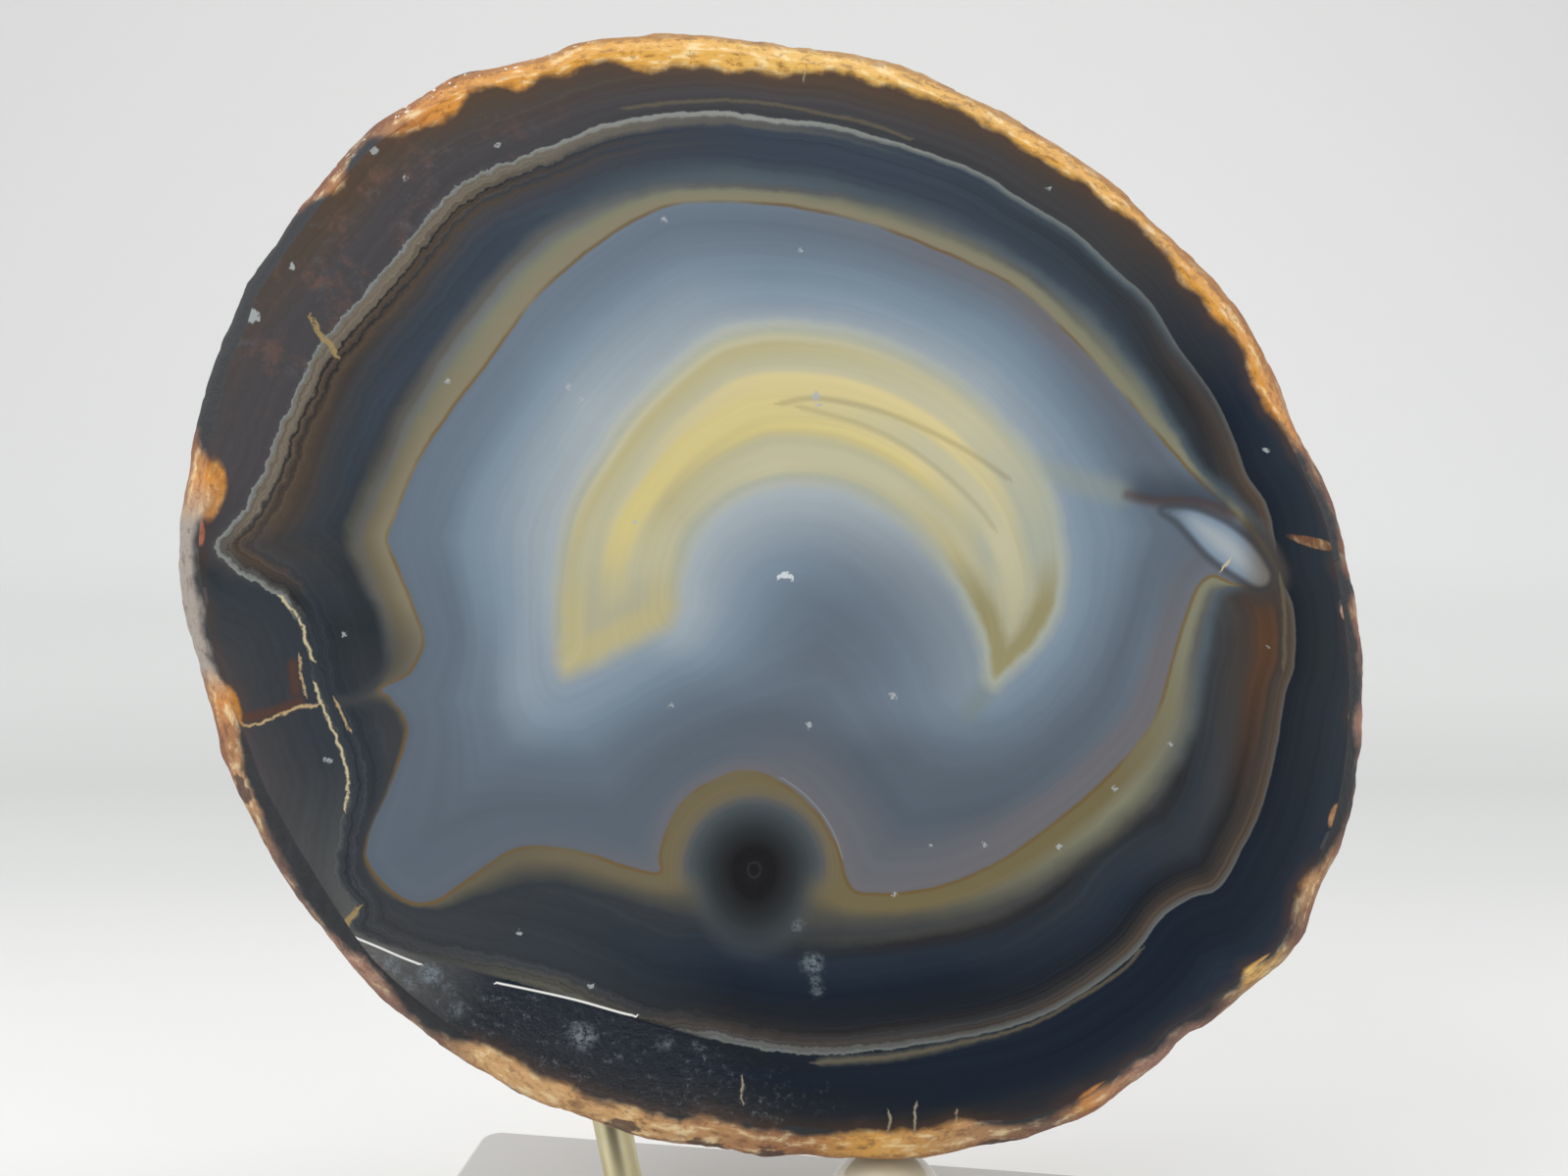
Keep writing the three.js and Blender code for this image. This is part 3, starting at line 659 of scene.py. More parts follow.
def on_frame(points, shift):
    """From (u, v, w) in millimetres to the row frame in metres."""
    u, v, w = points.T
    y = v * math.sin(LEAN_BACK) + w * math.cos(LEAN_BACK) + shift[1]
    z = v * math.cos(LEAN_BACK) - w * math.sin(LEAN_BACK) + CUT_CENTRE_HEIGHT
    return np.column_stack([u + shift[0], y, z]) * MM


def new_mesh(name, points, faces):
    mesh = bpy.data.meshes.new(name)
    mesh.from_pydata([tuple(p) for p in points], [], faces)
    mesh.shade_smooth()
    piece = bpy.data.objects.new(name, mesh)
    bpy.context.scene.collection.objects.link(piece)
    return piece


def lines_near(points, lines):
    """Distance to the nearest of some open lines, unsigned and signed by side."""
    found = [nearest(points, curve(line, closed=False)) for line in lines]
    plain = np.array([distance for distance, _ in found])
    signed = np.array([offset for _, offset in found])
    pick = plain.argmin(0)
    rows = np.arange(len(points))
    return plain[pick, rows], signed[pick, rows]


def stone_fields(points):
    """What the stone's materials read at each point: distances to the lines of the agate."""
    flat = points[:, :2]
    outer, inner = curve(CRESCENT_OUTER, closed=False), curve(CRESCENT_INNER, closed=False)
    crescent = np.vstack([outer, inner[::-1], CRESCENT_END])
    core = np.vstack([inner, CORE_MOUTH])
    to_outer, to_inner = nearest(flat, outer)[0], nearest(flat, inner)[0]
    narrowing = EYE_DISTANCE / (EYE_DISTANCE + points[:, 2])
    on_outline = EYE_POINT + (flat - EYE_POINT) * narrowing[:, None]
    degrees = np.degrees(np.arctan2(on_outline[:, 1], on_outline[:, 0]))
    from_edge = outline_reach(degrees) - np.hypot(*on_outline.T)
    fields = {
        "from_edge": from_edge,
        "grey_line": depth_inside(flat, curve(GREY_LINE)),
        "olive_edge": depth_inside(flat, curve(OLIVE_EDGE)),
        "brown_line": depth_inside(flat, curve(BROWN_LINE)),
        "crescent": depth_inside(flat, crescent),
        "across": to_outer / (to_outer + to_inner),
        "core": depth_inside(flat, core),
        "lens": depth_inside(flat, curve(LENS)),
        "warm_rind": around(WARM_RIND, degrees) - from_edge,
        "ground": flat_distance(flat),
    }
    for name, lines in (
        ("outer_lines", OUTER_LINES), ("cracks", CRACKS), ("crack_branch", CRACK_BRANCH),
        ("crack_strokes", CRACK_STROKES), ("splinters", SPLINTERS), ("hair_above", HAIR_ABOVE),
        ("hair_below", HAIR_BELOW), ("glints", GLINT_LINES), ("arch_glint", ARCH_GLINT),
        ("scratches", SCRATCHES), ("ember", EMBER),
    ):
        fields[name], fields[name + "_side"] = lines_near(flat, lines)
    for name, lines in (("tongue", TONGUE), ("crack_haze", CRACK_HAZE)):
        fields[name] = lines_near(flat, lines)[0]
    return fields


def add_fields(mesh, fields, behind):
    """Puts the fields on a mesh; the points behind the rim, which come last, keep zeros."""
    mesh.attributes.new("cut", "FLOAT_VECTOR", "POINT")
    for name, values in fields.items():
        values = np.concatenate([values, np.zeros(behind)])
        mesh.attributes.new(name, "FLOAT", "POINT").data.foreach_set("value", values)


def stone(shift):
    rings = stone_rings()
    counts = [len(ring) for ring in rings]
    starts = np.cumsum([1] + counts)
    top = np.array([[*DOME_CENTRE, rings[-1][:, 2].mean()]])
    points = np.vstack([[[0, 0, cut_depth(np.zeros((1, 2)))[0]]], *rings, top])
    faces = [(0, 1 + i, 1 + (i + 1) % counts[0]) for i in range(counts[0])]
    cut_faces = 0
    for k in range(len(rings) - 1):
        if k == CUT_RINGS - 1:
            cut_faces = len(faces)
        faces += bridge(int(starts[k]), int(starts[k + 1]), counts[k], counts[k + 1])
    last, end = int(starts[-2]), len(points) - 1
    faces += [(end, last + (i + 1) % counts[-1], last + i) for i in range(counts[-1])]
    piece = new_mesh("agate_stone", on_frame(points, shift), faces)
    piece.data.set_sharp_from_angle(angle=math.radians(40))
    front = int(starts[CUT_RINGS + RIM_RINGS + 1])
    add_fields(piece.data, stone_fields(points[:front]), len(points) - front)
    piece.data.attributes["cut"].data.foreach_set("vector", points.ravel())
    piece.data.materials.append(polished_agate(shift))
    piece.data.materials.append(natural_rind(shift))
    slots = np.zeros(len(faces), int)
    slots[cut_faces:] = 1
    piece.data.polygons.foreach_set("material_index", slots)
    return piece


# Materials

class Nodes:
    """Builds the node tree of one material."""

    def __init__(self, name):
        self.material = bpy.data.materials.new(name)
        self.material.use_nodes = True
        self.tree = self.material.node_tree
        self.shader = self.tree.nodes["Principled BSDF"]

    def put(self, socket, value):
        if isinstance(value, bpy.types.NodeSocket):
            self.tree.links.new(value, socket)
        else:
            socket.default_value = rgba(value) if isinstance(value, str) else value

    def add(self, kind, inputs, output=0, **settings):
        node = self.tree.nodes.new(kind)
        for key, value in settings.items():
            setattr(node, key, value)
        for key, value in inputs.items():
            self.put(node.inputs[key], value)
        return node.outputs[output]

    def field(self, name):
        return self.add("ShaderNodeAttribute", {}, "Fac", attribute_name=name)

    def vector_field(self, name):
        return self.add("ShaderNodeAttribute", {}, "Vector", attribute_name=name)

    def math(self, operation, a, b=0.0):
        return self.add("ShaderNodeMath", {0: a, 1: b}, operation=operation)

    def product(self, a, b):
        return self.math("MULTIPLY", a, b)

    def ellipse(self, vector, centre, wide, tall, turn):
        """Under 1 inside an ellipse with these half sizes, turned by some degrees."""
        inputs = {"Vector": vector, "Location": centre, "Rotation": (0, 0, math.radians(turn)),
                  "Scale": (wide, tall, 1000.0)}
        moved = self.add("ShaderNodeMapping", inputs, vector_type="TEXTURE")
        return self.add("ShaderNodeVectorMath", {0: moved}, "Value", operation="LENGTH")

    def dot(self, vector, other):
        inputs = {0: vector, 1: other}
        return self.add("ShaderNodeVectorMath", inputs, "Value", operation="DOT_PRODUCT")

    def distance(self, vector, point):
        return self.add("ShaderNodeVectorMath", {0: vector, 1: point}, "Value", operation="DISTANCE")

    def fade(self, value, low, high, kind="SMOOTHSTEP"):
        """0 where value is at low and 1 where it is at high."""
        inputs = {"Value": value, "From Min": low, "From Max": high}
        return self.add("ShaderNodeMapRange", inputs, interpolation_type=kind)

    def blend(self, factor, a, b, mode="MIX"):
        return self.add("ShaderNodeMix", {0: factor, 6: a, 7: b}, 2, data_type="RGBA", blend_type=mode)

    def noise(self, vector, scale, detail=3.0, roughness=0.5):
        inputs = {"Vector": vector, "Scale": scale, "Detail": detail, "Roughness": roughness}
        return self.add("ShaderNodeTexNoise", inputs)

    def ramp(self, value, stops):
        low, high = stops[0][0], stops[-1][0]
        node = self.tree.nodes.new("ShaderNodeValToRGB")
        self.put(node.inputs[0], self.fade(value, low, high, "LINEAR"))
        elements = node.color_ramp.elements
        while len(elements) < len(stops):
            elements.new(1.0)
        elements.foreach_set("position", [(position - low) / (high - low) for position, _ in stops])
        elements.foreach_set("color", [level for _, tint in stops for level in rgba(tint)])
        return node.outputs[0]

    def sectors(self, degrees, value, table):
        """Blends a table's ramps from direction to direction."""
        table = table + [(180, table[0][1])]
        colour = self.ramp(value, table[0][1])
        for (before, _), (direction, stops) in zip(table[:-1], table[1:]):
            share = self.fade(degrees, before, direction, "LINEAR")
            colour = self.blend(share, colour, self.ramp(value, stops))
        return colour

    def line(self, distance, side, width, soft=0.12):
        """1 on a thin line, from its unsigned distance and its signed one."""
        thin = self.fade(self.math("ABSOLUTE", side), width / 2 + soft, max(0.0, width / 2 - soft))
        if distance is None:
            return thin
        return self.math("MULTIPLY", thin, self.fade(distance, width + 0.5, width + 0.1))

    def bump(self, height, distance, strength=1.0):
        inputs = {"Height": height, "Distance": distance, "Strength": strength}
        return self.add("ShaderNodeBump", inputs)


def direction_on_cut(n, cut):
    """Direction from the middle of the cut in degrees, and u, v and w."""
    u, v, w = (n.dot(cut, axis) for axis in ((1, 0, 0), (0, 1, 0), (0, 0, 1)))
    return n.math("DEGREES", n.math("ARCTAN2", v, u)), u, v, w


def place_on_cut(n, shift):
    """The cut's (u, v, w) again, from the mesh itself, for the noise textures."""
    place = n.add("ShaderNodeTexCoord", {}, "Object")
    return n.add("ShaderNodeMapping", {
        "Vector": place, "Location": (shift.x * MM, shift.y * MM, CUT_CENTRE_HEIGHT * MM),
        "Rotation": (math.pi / 2 - LEAN_BACK, 0, 0), "Scale": (MM, MM, -MM),
    }, vector_type="TEXTURE")


def layered(n, place, value, frequency):
    """A fine banding that follows the lines of equal value."""
    drift = 0.02
    inputs = {"Vector": place, "W": n.product(value, frequency / drift), "Scale": drift,
              "Detail": 4.0, "Roughness": 0.6}
    return n.add("ShaderNodeTexNoise", inputs, noise_dimensions="4D")


def shaded(n, colour, amount, low, high):
    """The colour made darker or lighter, as amount goes from 0 to 1."""
    level = n.add("ShaderNodeMapRange", {"Value": amount, "From Min": 0.25, "From Max": 0.75,
                                         "To Min": low, "To Max": high})
    grey = n.add("ShaderNodeCombineColor", {0: level, 1: level, 2: level})
    return n.blend(1.0, colour, grey, "MULTIPLY")


def rind_tint(n, degrees):
    stops = RIND_TINTS + [(180, RIND_TINTS[0][1])]
    middle = len(stops) // 2
    left = n.ramp(degrees, stops[:middle + 1])
    right = n.ramp(degrees, stops[middle:])
    return n.blend(n.math("GREATER_THAN", degrees, float(stops[middle][0])), left, right)


def rind_border(n, place):
    """More than 0 where the rind is warm, less where dark agate reaches the surface."""
    wander = n.product(n.math("SUBTRACT", n.noise(place, 0.33, 3.0, 0.5), 0.5), 1.9)
    return n.math("ADD", n.field("warm_rind"), wander), wander


def rind_colour(n, degrees, cut, place, from_edge):
    """The warm rind: streaks along the edge, brown flaws, dark facets, a red-brown skin and painted glints
    near the top.
    """
    outward = n.add("ShaderNodeVectorMath", {0: cut}, operation="NORMALIZE")
    along = n.add("ShaderNodeCombineXYZ", {
        0: n.dot(outward, (24, 0, 0)), 1: n.dot(outward, (0, 24, 0)), 2: n.product(from_edge, 1.4),
    })
    streaks = n.noise(along, 1.0, 5.0, 0.6)
    flaws = n.noise(place, 0.8, 5.0, 0.7)
    tint = rind_tint(n, degrees)
    saturation = n.add("ShaderNodeSeparateColor", {0: tint}, 1, mode="HSV")
    warm = n.fade(saturation, 0.35, 0.75)
    light = n.product(n.fade(streaks, 0.5, 0.66), warm)
    tint = n.blend(light, tint, n.blend(0.55, tint, "#fdeab8"))
    tint = n.blend(n.product(n.fade(streaks, 0.46, 0.32), 0.8), tint, n.blend(0.65, tint, "#5a3322"))
    tint = n.blend(n.product(n.fade(flaws, 0.54, 0.64), 0.6), tint, n.blend(0.7, tint, "#6b3c28"))
    skin = n.math("ADD", from_edge, n.product(n.math("SUBTRACT", flaws, 0.5), 2.0))
    skin = n.product(n.fade(skin, 0.3, -0.1), n.product(warm, 0.75))
    tint = n.blend(skin, tint, n.blend(0.75, tint, RIND_SKIN))
    ragged = n.product(n.math("SUBTRACT", streaks, 0.5), 3.0)
    for centre, wide, tall, turn in RIND_FACETS:
        facet = n.math("ADD", n.ellipse(place, centre, wide, tall, turn), ragged)
        tint = n.blend(n.product(n.fade(facet, 1.2, 0.8), 0.8), tint, "#40302d")
    # Painted highlights: cream glints where light catches the rind on its upper left
    glint = n.product(n.fade(n.noise(place, 0.9, 4.0, 0.65), 0.6, 0.66), n.fade(from_edge, 0.6, 0.3))
    glint = n.product(glint, n.product(n.fade(degrees, 100.0, 112.0), n.fade(degrees, 150.0, 138.0)))
    return n.blend(n.product(glint, 0.85), tint, "#f4ecdf")


def agate_heart(n, degrees, place, u, v, brown, wobble):
    """What lies inside the brown line: blue-grey agate, the yellow crescent and its core."""
    crescent = n.math("ADD", n.field("crescent"), wobble)
    outside = n.math("MAXIMUM", n.product(crescent, -1.0), 0.0)
    share = n.math("DIVIDE", brown, n.math("ADD", brown, n.math("ADD", outside, 0.01)))
    # The heart and core ramps carry a painted glow of light scattered inside the stone, besides their own
    # bands
    heart = n.sectors(degrees, share, HEART)
    core = n.ramp(share, CORE)
    shade = n.fade(n.distance(n.vector_field("cut"), CORE_SHADE), 17.0, 1.0)
    core = n.blend(n.product(shade, 0.8), core, "#5c6671")
    right = n.math("SUBTRACT", u, n.product(v, 0.5))
    core = n.blend(n.product(n.fade(right, 6.0, 22.0), 0.5), core, "#6f7c88")
    heart = n.blend(n.fade(n.field("core"), -4.0, 3.0), heart, core)
    heart = shaded(n, heart, layered(n, place, n.product(share, 14.0), 1.5), 0.94, 1.06)
    stroke = n.product(n.fade(n.field("tongue"), 2.2, 0.2), n.fade(v, 0.0, 9.0))
    heart = n.blend(n.product(stroke, 0.4), heart, "#8f9580")
    stroke = n.product(n.fade(n.field("tongue"), 1.8, 0.1), n.fade(v, 0.0, -5.0))
    heart = n.blend(n.product(stroke, 0.5), heart, "#74807c")

    across = n.field("across")
    yellow = n.sectors(degrees, across, CRESCENT)
    left = n.fade(u, -5.0, -9.0)
    yellow = n.blend(n.product(n.product(left, n.fade(v, 8.0, -1.5)), 0.85), yellow, "#a9a78c")
    at_end = n.product(n.fade(v, 4.0, -2.0), n.fade(crescent, 5.4, 3.4))
    yellow = n.blend(n.product(at_end, left), yellow, n.ramp(crescent, LEFT_END))
    at_end = n.product(n.fade(v, 6.0, -1.5), n.fade(u, 12.0, 15.0))
    yellow = n.blend(at_end, yellow, n.ramp(crescent, RIGHT_END))
    yellow = shaded(n, yellow, layered(n, place, n.product(across, 14.0), 1.3), 0.95, 1.05)
    for name, reach in (("hair_above", 0.34), ("hair_below", 0.26)):
        hair = n.line(n.field(name), n.field(name + "_side"), 0.5, 0.3)
        yellow = n.blend(n.product(hair, reach), yellow, "#7d7450")
    return n.blend(n.fade(crescent, -1.5, 0.6), heart, yellow)


def agate_lens(n, colour, u):
    """The small pale lens on the right and the dark red-brown layer over it."""
    ember = n.field("ember")
    over = n.product(n.fade(ember, 4.2, 0.3), n.fade(n.field("ember_side"), -0.6, 0.3))
    over = n.product(over, n.product(n.fade(u, 35.0, 38.5), n.fade(u, 48.0, 46.0)))
    colour = n.blend(n.product(over, 0.8), colour, SLATE)
    colour = n.blend(n.product(n.fade(ember, 1.0, 0.1), 0.55), colour, EMBER_BROWN)
    lens = n.field("lens")
    beside = n.product(n.fade(lens, -2.6, -1.2), n.fade(u, 46.8, 49.0))
    colour = n.blend(n.product(beside, 0.85), colour, UMBER)
    colour = n.blend(n.product(n.fade(lens, -0.9, -0.1), 0.6), colour, LENS_SHADE)
    inner = n.ramp(lens, [(0, SHALE), (0.5, FOG), (1.2, HAZE), (2.4, SILVER)])
    inner = n.blend(n.product(n.fade(u, 47.0, 50.5), 0.85), inner, BARK)
    inner = n.blend(n.product(n.fade(u, 43.5, 40.0), 0.75), inner, SHALE)
    return n.blend(n.fade(lens, -0.3, 0.4), colour, inner)


def thin_lines(n, colour, place):
    """The lines outside the grey one, cracks, scratches and painted glints."""
    broken = n.fade(n.noise(place, 1.7, 3.0, 0.6), 0.3, 0.48)
    jagged = n.product(n.math("SUBTRACT", n.noise(place, 0.8, 4.0, 0.65), 0.5), 1.0)
    side = n.math("ADD", n.field("outer_lines_side"), n.product(jagged, 0.5))
    low = n.fade(n.field("ground"), -12.0, -2.0)
    wide = n.product(n.line(n.field("outer_lines"), side, 0.9, 0.3), low)
    colour = n.blend(n.product(wide, 0.9), colour, MOSS)
    colour = n.blend(n.product(n.line(n.field("outer_lines"), side, 0.3, 0.2), 0.6), colour, KHAKI)
    haze = n.product(n.fade(n.field("crack_haze"), 0.9, 0.1), 0.6)
    colour = n.blend(haze, colour, "#5d3d2e")
    for name, width, strength, tint in (
        ("cracks", 0.26, 1.0, "#c3b692"), ("crack_branch", 0.28, 0.9, "#bfa67c"),
        ("crack_strokes", 0.26, 0.9, "#b39a76"), ("splinters", 0.6, 0.9, "#98845a"),
        ("scratches", 0.2, 0.6, "#c4b69c"),
    ):
        side = n.math("ADD", n.field(name + "_side"), jagged)
        line = n.product(n.line(n.field(name), side, width), broken)
        colour = n.blend(n.product(line, strength), colour, tint)
    # Painted highlights: the glints on the ground flat's edge and beside the arch
    for name, width, strength, tint in (
        ("arch_glint", 0.1, 0.3, "#9ba3a6"), ("glints", 0.16, 1.0, "#f4f3ee"),
    ):
        line = n.line(n.field(name), n.field(name + "_side"), width)
        colour = n.blend(n.product(line, strength), colour, tint)
    return colour


def mark_distance(n, place, marks):
    """How far outside the nearest of some round marks a point lies."""
    if len(marks) == 1:
        u, v, radius = marks[0]
        return n.math("SUBTRACT", n.distance(place, (u, v, 0)), radius)
    middle = len(marks) // 2
    some, others = (mark_distance(n, place, part) for part in (marks[:middle], marks[middle:]))
    return n.math("MINIMUM", some, others)


def white_marks(n, colour, cut, place, u, ground):
    """Small white specks on the polish, and the scuffs of the ground flat."""
    warp = n.add("ShaderNodeCombineXYZ", {
        0: n.product(n.math("SUBTRACT", n.noise(place, 2.0), 0.5), 1.3),
        1: n.product(n.math("SUBTRACT", n.noise(place, 2.3), 0.5), 1.3),
    })
    ragged = n.add("ShaderNodeVectorMath", {0: cut, 1: warp}, operation="ADD")
    smeared = n.fade(n.noise(place, 1.6, 5.0, 0.75), 0.38, 0.6)
    for marks, tint, strength, soft in (
        (SPECKS, SILVER, 0.8, 0.12), (SCUFFS, "#747d84", n.product(smeared, 0.9), 0.7),
    ):
        on_mark = n.fade(mark_distance(n, ragged, marks), soft, -soft)
        colour = n.blend(n.product(on_mark, strength), colour, tint)
    moon = n.product(n.fade(n.ellipse(ragged, (1.4, 1.9, 0), 0.85, 0.75, 0), 1.05, 0.9),
                     n.fade(n.ellipse(ragged, (1.35, 1.45, 0), 0.75, 0.65, 0), 0.95, 1.1))
    colour = n.blend(n.product(moon, 0.8), colour, "#d5dadb")
    flecks = n.product(n.fade(n.noise(place, 1.2, 6.0, 0.8), 0.52, 0.7),
                       n.fade(n.noise(place, 0.2, 2.0), 0.42, 0.6))
    flecks = n.product(flecks, n.product(n.fade(ground, 0.3, 1.0), n.fade(u, 14.0, -4.0)))
    return n.blend(n.product(flecks, 0.6), colour, "#747c83")


def warm_edge(n, colour, degrees, cut, place):
    """The rind at the edge of the cut, which shades off into the dark agate."""
    tint = rind_colour(n, degrees, cut, place, n.field("from_edge"))
    edge, wander = rind_border(n, place)
    for centre, wide, tall, turn, patch in RIND_PATCHES:
        bumpy = n.math("ADD", n.ellipse(place, centre, wide, tall, turn), n.product(wander, 0.4))
        patch = shaded(n, n.blend(0.35, patch, tint), n.noise(place, 1.3, 4.0, 0.6), 0.6, 1.25)
        colour = n.blend(n.fade(bumpy, 1.2, 0.75), colour, patch)
    colour = n.blend(n.product(n.fade(edge, -2.2, 0.0), 0.4), colour, "#5b4334")
    return n.blend(n.fade(edge, -0.6, 0.5), colour, tint)


def polished_agate(shift):
    n = Nodes("polished_agate")
    cut = n.vector_field("cut")
    place = place_on_cut(n, shift)
    degrees, u, v, _ = direction_on_cut(n, cut)
    wobble = n.product(n.math("SUBTRACT", n.noise(place, 0.35, 5.0, 0.6), 0.5), 0.9)
    rugged = n.math("MAXIMUM", n.fade(degrees, 105.0, 125.0), n.fade(degrees, -15.0, -40.0))
    jags = n.math("SUBTRACT", n.noise(place, 0.6, 5.0, 0.65), 0.5)
    strong = n.product(n.math("ADD", n.product(rugged, 0.9), 0.5), n.fade(u, 40.0, -20.0))
    grey = n.math("ADD", n.field("grey_line"), n.product(jags, n.math("ADD", strong, 0.3)))
    olive = n.math("ADD", n.field("olive_edge"), wobble)
    brown = n.math("ADD", n.field("brown_line"), n.product(wobble, 0.4))

    outside = n.sectors(degrees, n.product(grey, -1.0), OUTSIDE_GREY_LINE)
    upper_left = n.product(n.fade(degrees, 108.0, 130.0), n.fade(degrees, 168.0, 155.0))
    for scale, low, strength, tint in ((0.26, 0.5, 0.6, "#6f554b"), (0.36, 0.54, 0.45, "#66656b")):
        mottle = n.fade(n.noise(place, scale, 6.0, 0.7), low, low + 0.2)
        outside = n.blend(n.product(n.product(mottle, upper_left), strength), outside, tint)
    between = n.sectors(degrees, grey, INSIDE_GREY_LINE)
    ground = n.field("ground")
    inside = n.product(n.fade(grey, -0.12, 0.1), n.fade(ground, 0.4, -0.1))
    colour = n.blend(inside, outside, between)
    layers = layered(n, place, grey, 1.6)
    colour = shaded(n, colour, layers, 0.86, 1.14)
    near_line = n.product(n.fade(grey, 4.5, 1.5), n.fade(grey, 0.1, 0.5))
    near_line = n.product(near_line, n.math("ADD", n.product(rugged, 0.7), 0.3))
    colour = n.blend(near_line, colour, shaded(n, colour, layered(n, place, grey, 4.0), 0.45, 1.55))

    width = n.math("SUBTRACT", olive, brown)
    share = n.math("DIVIDE", olive, n.math("MAXIMUM", width, 0.2))
    colour = n.blend(n.fade(olive, -1.1, 0.5), colour, n.sectors(degrees, share, OLIVE_BAND))

    split_eye = n.add("ShaderNodeVectorMath", {0: cut, 1: EYE_CENTRE}, operation="SUBTRACT")
    _, eye_u, above, _ = direction_on_cut(n, split_eye)
    eye_v = n.math("MAXIMUM", above, n.product(above, -EYE_SQUASH))
    away = n.math("SQRT", n.math("ADD", n.product(eye_u, eye_u), n.product(eye_v, eye_v)))
    eye = shaded(n, n.ramp(away, EYE), layered(n, place, away, 2.2), 0.9, 1.1)
    upper = n.fade(away, EYE_REACH + 0.5, EYE_REACH - 1.6)
    lower = n.fade(away, EYE_REACH - 2.2, EYE_REACH - 5.4)
    reach = n.fade(above, -3.5, 0.5)
    reach = n.math("ADD", n.product(upper, reach), n.product(lower, n.math("SUBTRACT", 1.0, reach)))
    colour = n.blend(reach, colour, eye)
    rim = n.product(n.line(None, n.math("SUBTRACT", olive, 0.5), 0.3, 0.35), upper_left)
    colour = n.blend(n.product(rim, 0.35), colour, COCOA)

    colour = n.blend(n.fade(brown, -0.12, 0.15), colour, agate_heart(n, degrees, place, u, v, brown, wobble))
    line = n.line(None, n.math("ADD", brown, 0.1), 0.3, 0.18)
    strength = n.product(n.fade(n.noise(place, 0.08), 0.35, 0.55), 0.8)
    colour = n.blend(n.product(line, strength), colour, "#6b5635")
    colour = agate_lens(n, colour, u)
    colour = thin_lines(n, colour, place)
    colour = white_marks(n, colour, cut, place, u, ground)
    colour = warm_edge(n, colour, degrees, cut, place)
    n.put(n.shader.inputs["Base Color"], colour)

    coarse = n.product(n.fade(ground, 0.0, 0.4), n.fade(u, 5.0, -20.0))
    fine = n.noise(place, 1.2, 5.0, 0.7)
    polish = n.add("ShaderNodeMapRange", {"Value": fine, "To Min": 0.06, "To Max": 0.13})
    n.put(n.shader.inputs["Roughness"], n.math("ADD", polish, n.product(coarse, 0.05)))
    n.shader.inputs["IOR"].default_value = 1.54
    height = n.product(n.noise(place, 0.8, 5.0, 0.7), n.math("ADD", coarse, 0.02))
    n.put(n.shader.inputs["Normal"], n.bump(height, 0.25 * MM, 0.6))
    return n.material


def natural_rind(shift):
    n = Nodes("natural_rind")
    cut = n.vector_field("cut")
    place = place_on_cut(n, shift)
    degrees, _, _, w = direction_on_cut(n, cut)
    lumps = n.noise(place, 0.16, 5.0, 0.6)
    fine = n.noise(place, 0.9, 6.0, 0.7)
    dome = n.ramp(lumps, [(0.25, "#57463b"), (0.42, "#7b6454"), (0.55, "#8f7a68"), (0.66, "#9f7c5b"),
                          (0.8, "#b09c8a")])
    dome = n.blend(n.product(n.fade(n.noise(place, 0.07, 3.0), 0.5, 0.66), 0.5), dome, "#96603c")
    dome = shaded(n, dome, fine, 0.75, 1.2)
    edge, _ = rind_border(n, place)
    tint = rind_colour(n, degrees, cut, place, n.field("from_edge"))
    tint = n.blend(n.fade(edge, -0.6, 0.5), shaded(n, RIND_DARK, fine, 0.7, 1.3), tint)
    n.put(n.shader.inputs["Base Color"], n.blend(n.fade(w, 3.5, 7.5), tint, dome))
    rough = n.add("ShaderNodeMapRange", {"Value": fine, "To Min": 0.45, "To Max": 0.8})
    n.put(n.shader.inputs["Roughness"], rough)
    n.put(n.shader.inputs["Normal"], n.bump(n.math("ADD", fine, lumps), 0.5 * MM, 0.8))
    return n.material


def satin_acrylic():
    n = Nodes("satin_acrylic")
    place = n.add("ShaderNodeTexCoord", {}, "Object")
    cloud = n.noise(place, 18.0, 3.0)
    n.put(n.shader.inputs["Base Color"], n.ramp(cloud, [(0.3, "#c0beba"), (0.7, "#cccac6")]))
    fine = n.noise(place, 900.0, 4.0, 0.6)
    rough = n.add("ShaderNodeMapRange", {"Value": fine, "To Min": 0.28, "To Max": 0.42})
    n.put(n.shader.inputs["Roughness"], rough)
    n.put(n.shader.inputs["Normal"], n.bump(fine, 0.02 * MM, 0.4))
    n.shader.inputs["Coat Weight"].default_value = 0.3
    return n.material


def pale_brass():
    n = Nodes("pale_brass")
    place = n.add("ShaderNodeTexCoord", {}, "Object")
    stretched = n.add("ShaderNodeMapping", {"Vector": place, "Scale": (900.0, 900.0, 60.0)})
    grain = n.noise(stretched, 1.0, 4.0, 0.6)
    tarnish = n.noise(place, 160.0, 4.0, 0.6)
    n.put(n.shader.inputs["Base Color"], n.ramp(tarnish, [(0.35, "#f0e8c4"), (0.7, "#e2d6a6")]))
    n.shader.inputs["Metallic"].default_value = 1.0
    rough = n.add("ShaderNodeMapRange", {"Value": grain, "To Min": 0.3, "To Max": 0.44})
    n.put(n.shader.inputs["Roughness"], rough)
    n.put(n.shader.inputs["Normal"], n.bump(grain, 0.01 * MM, 0.3))
    return n.material


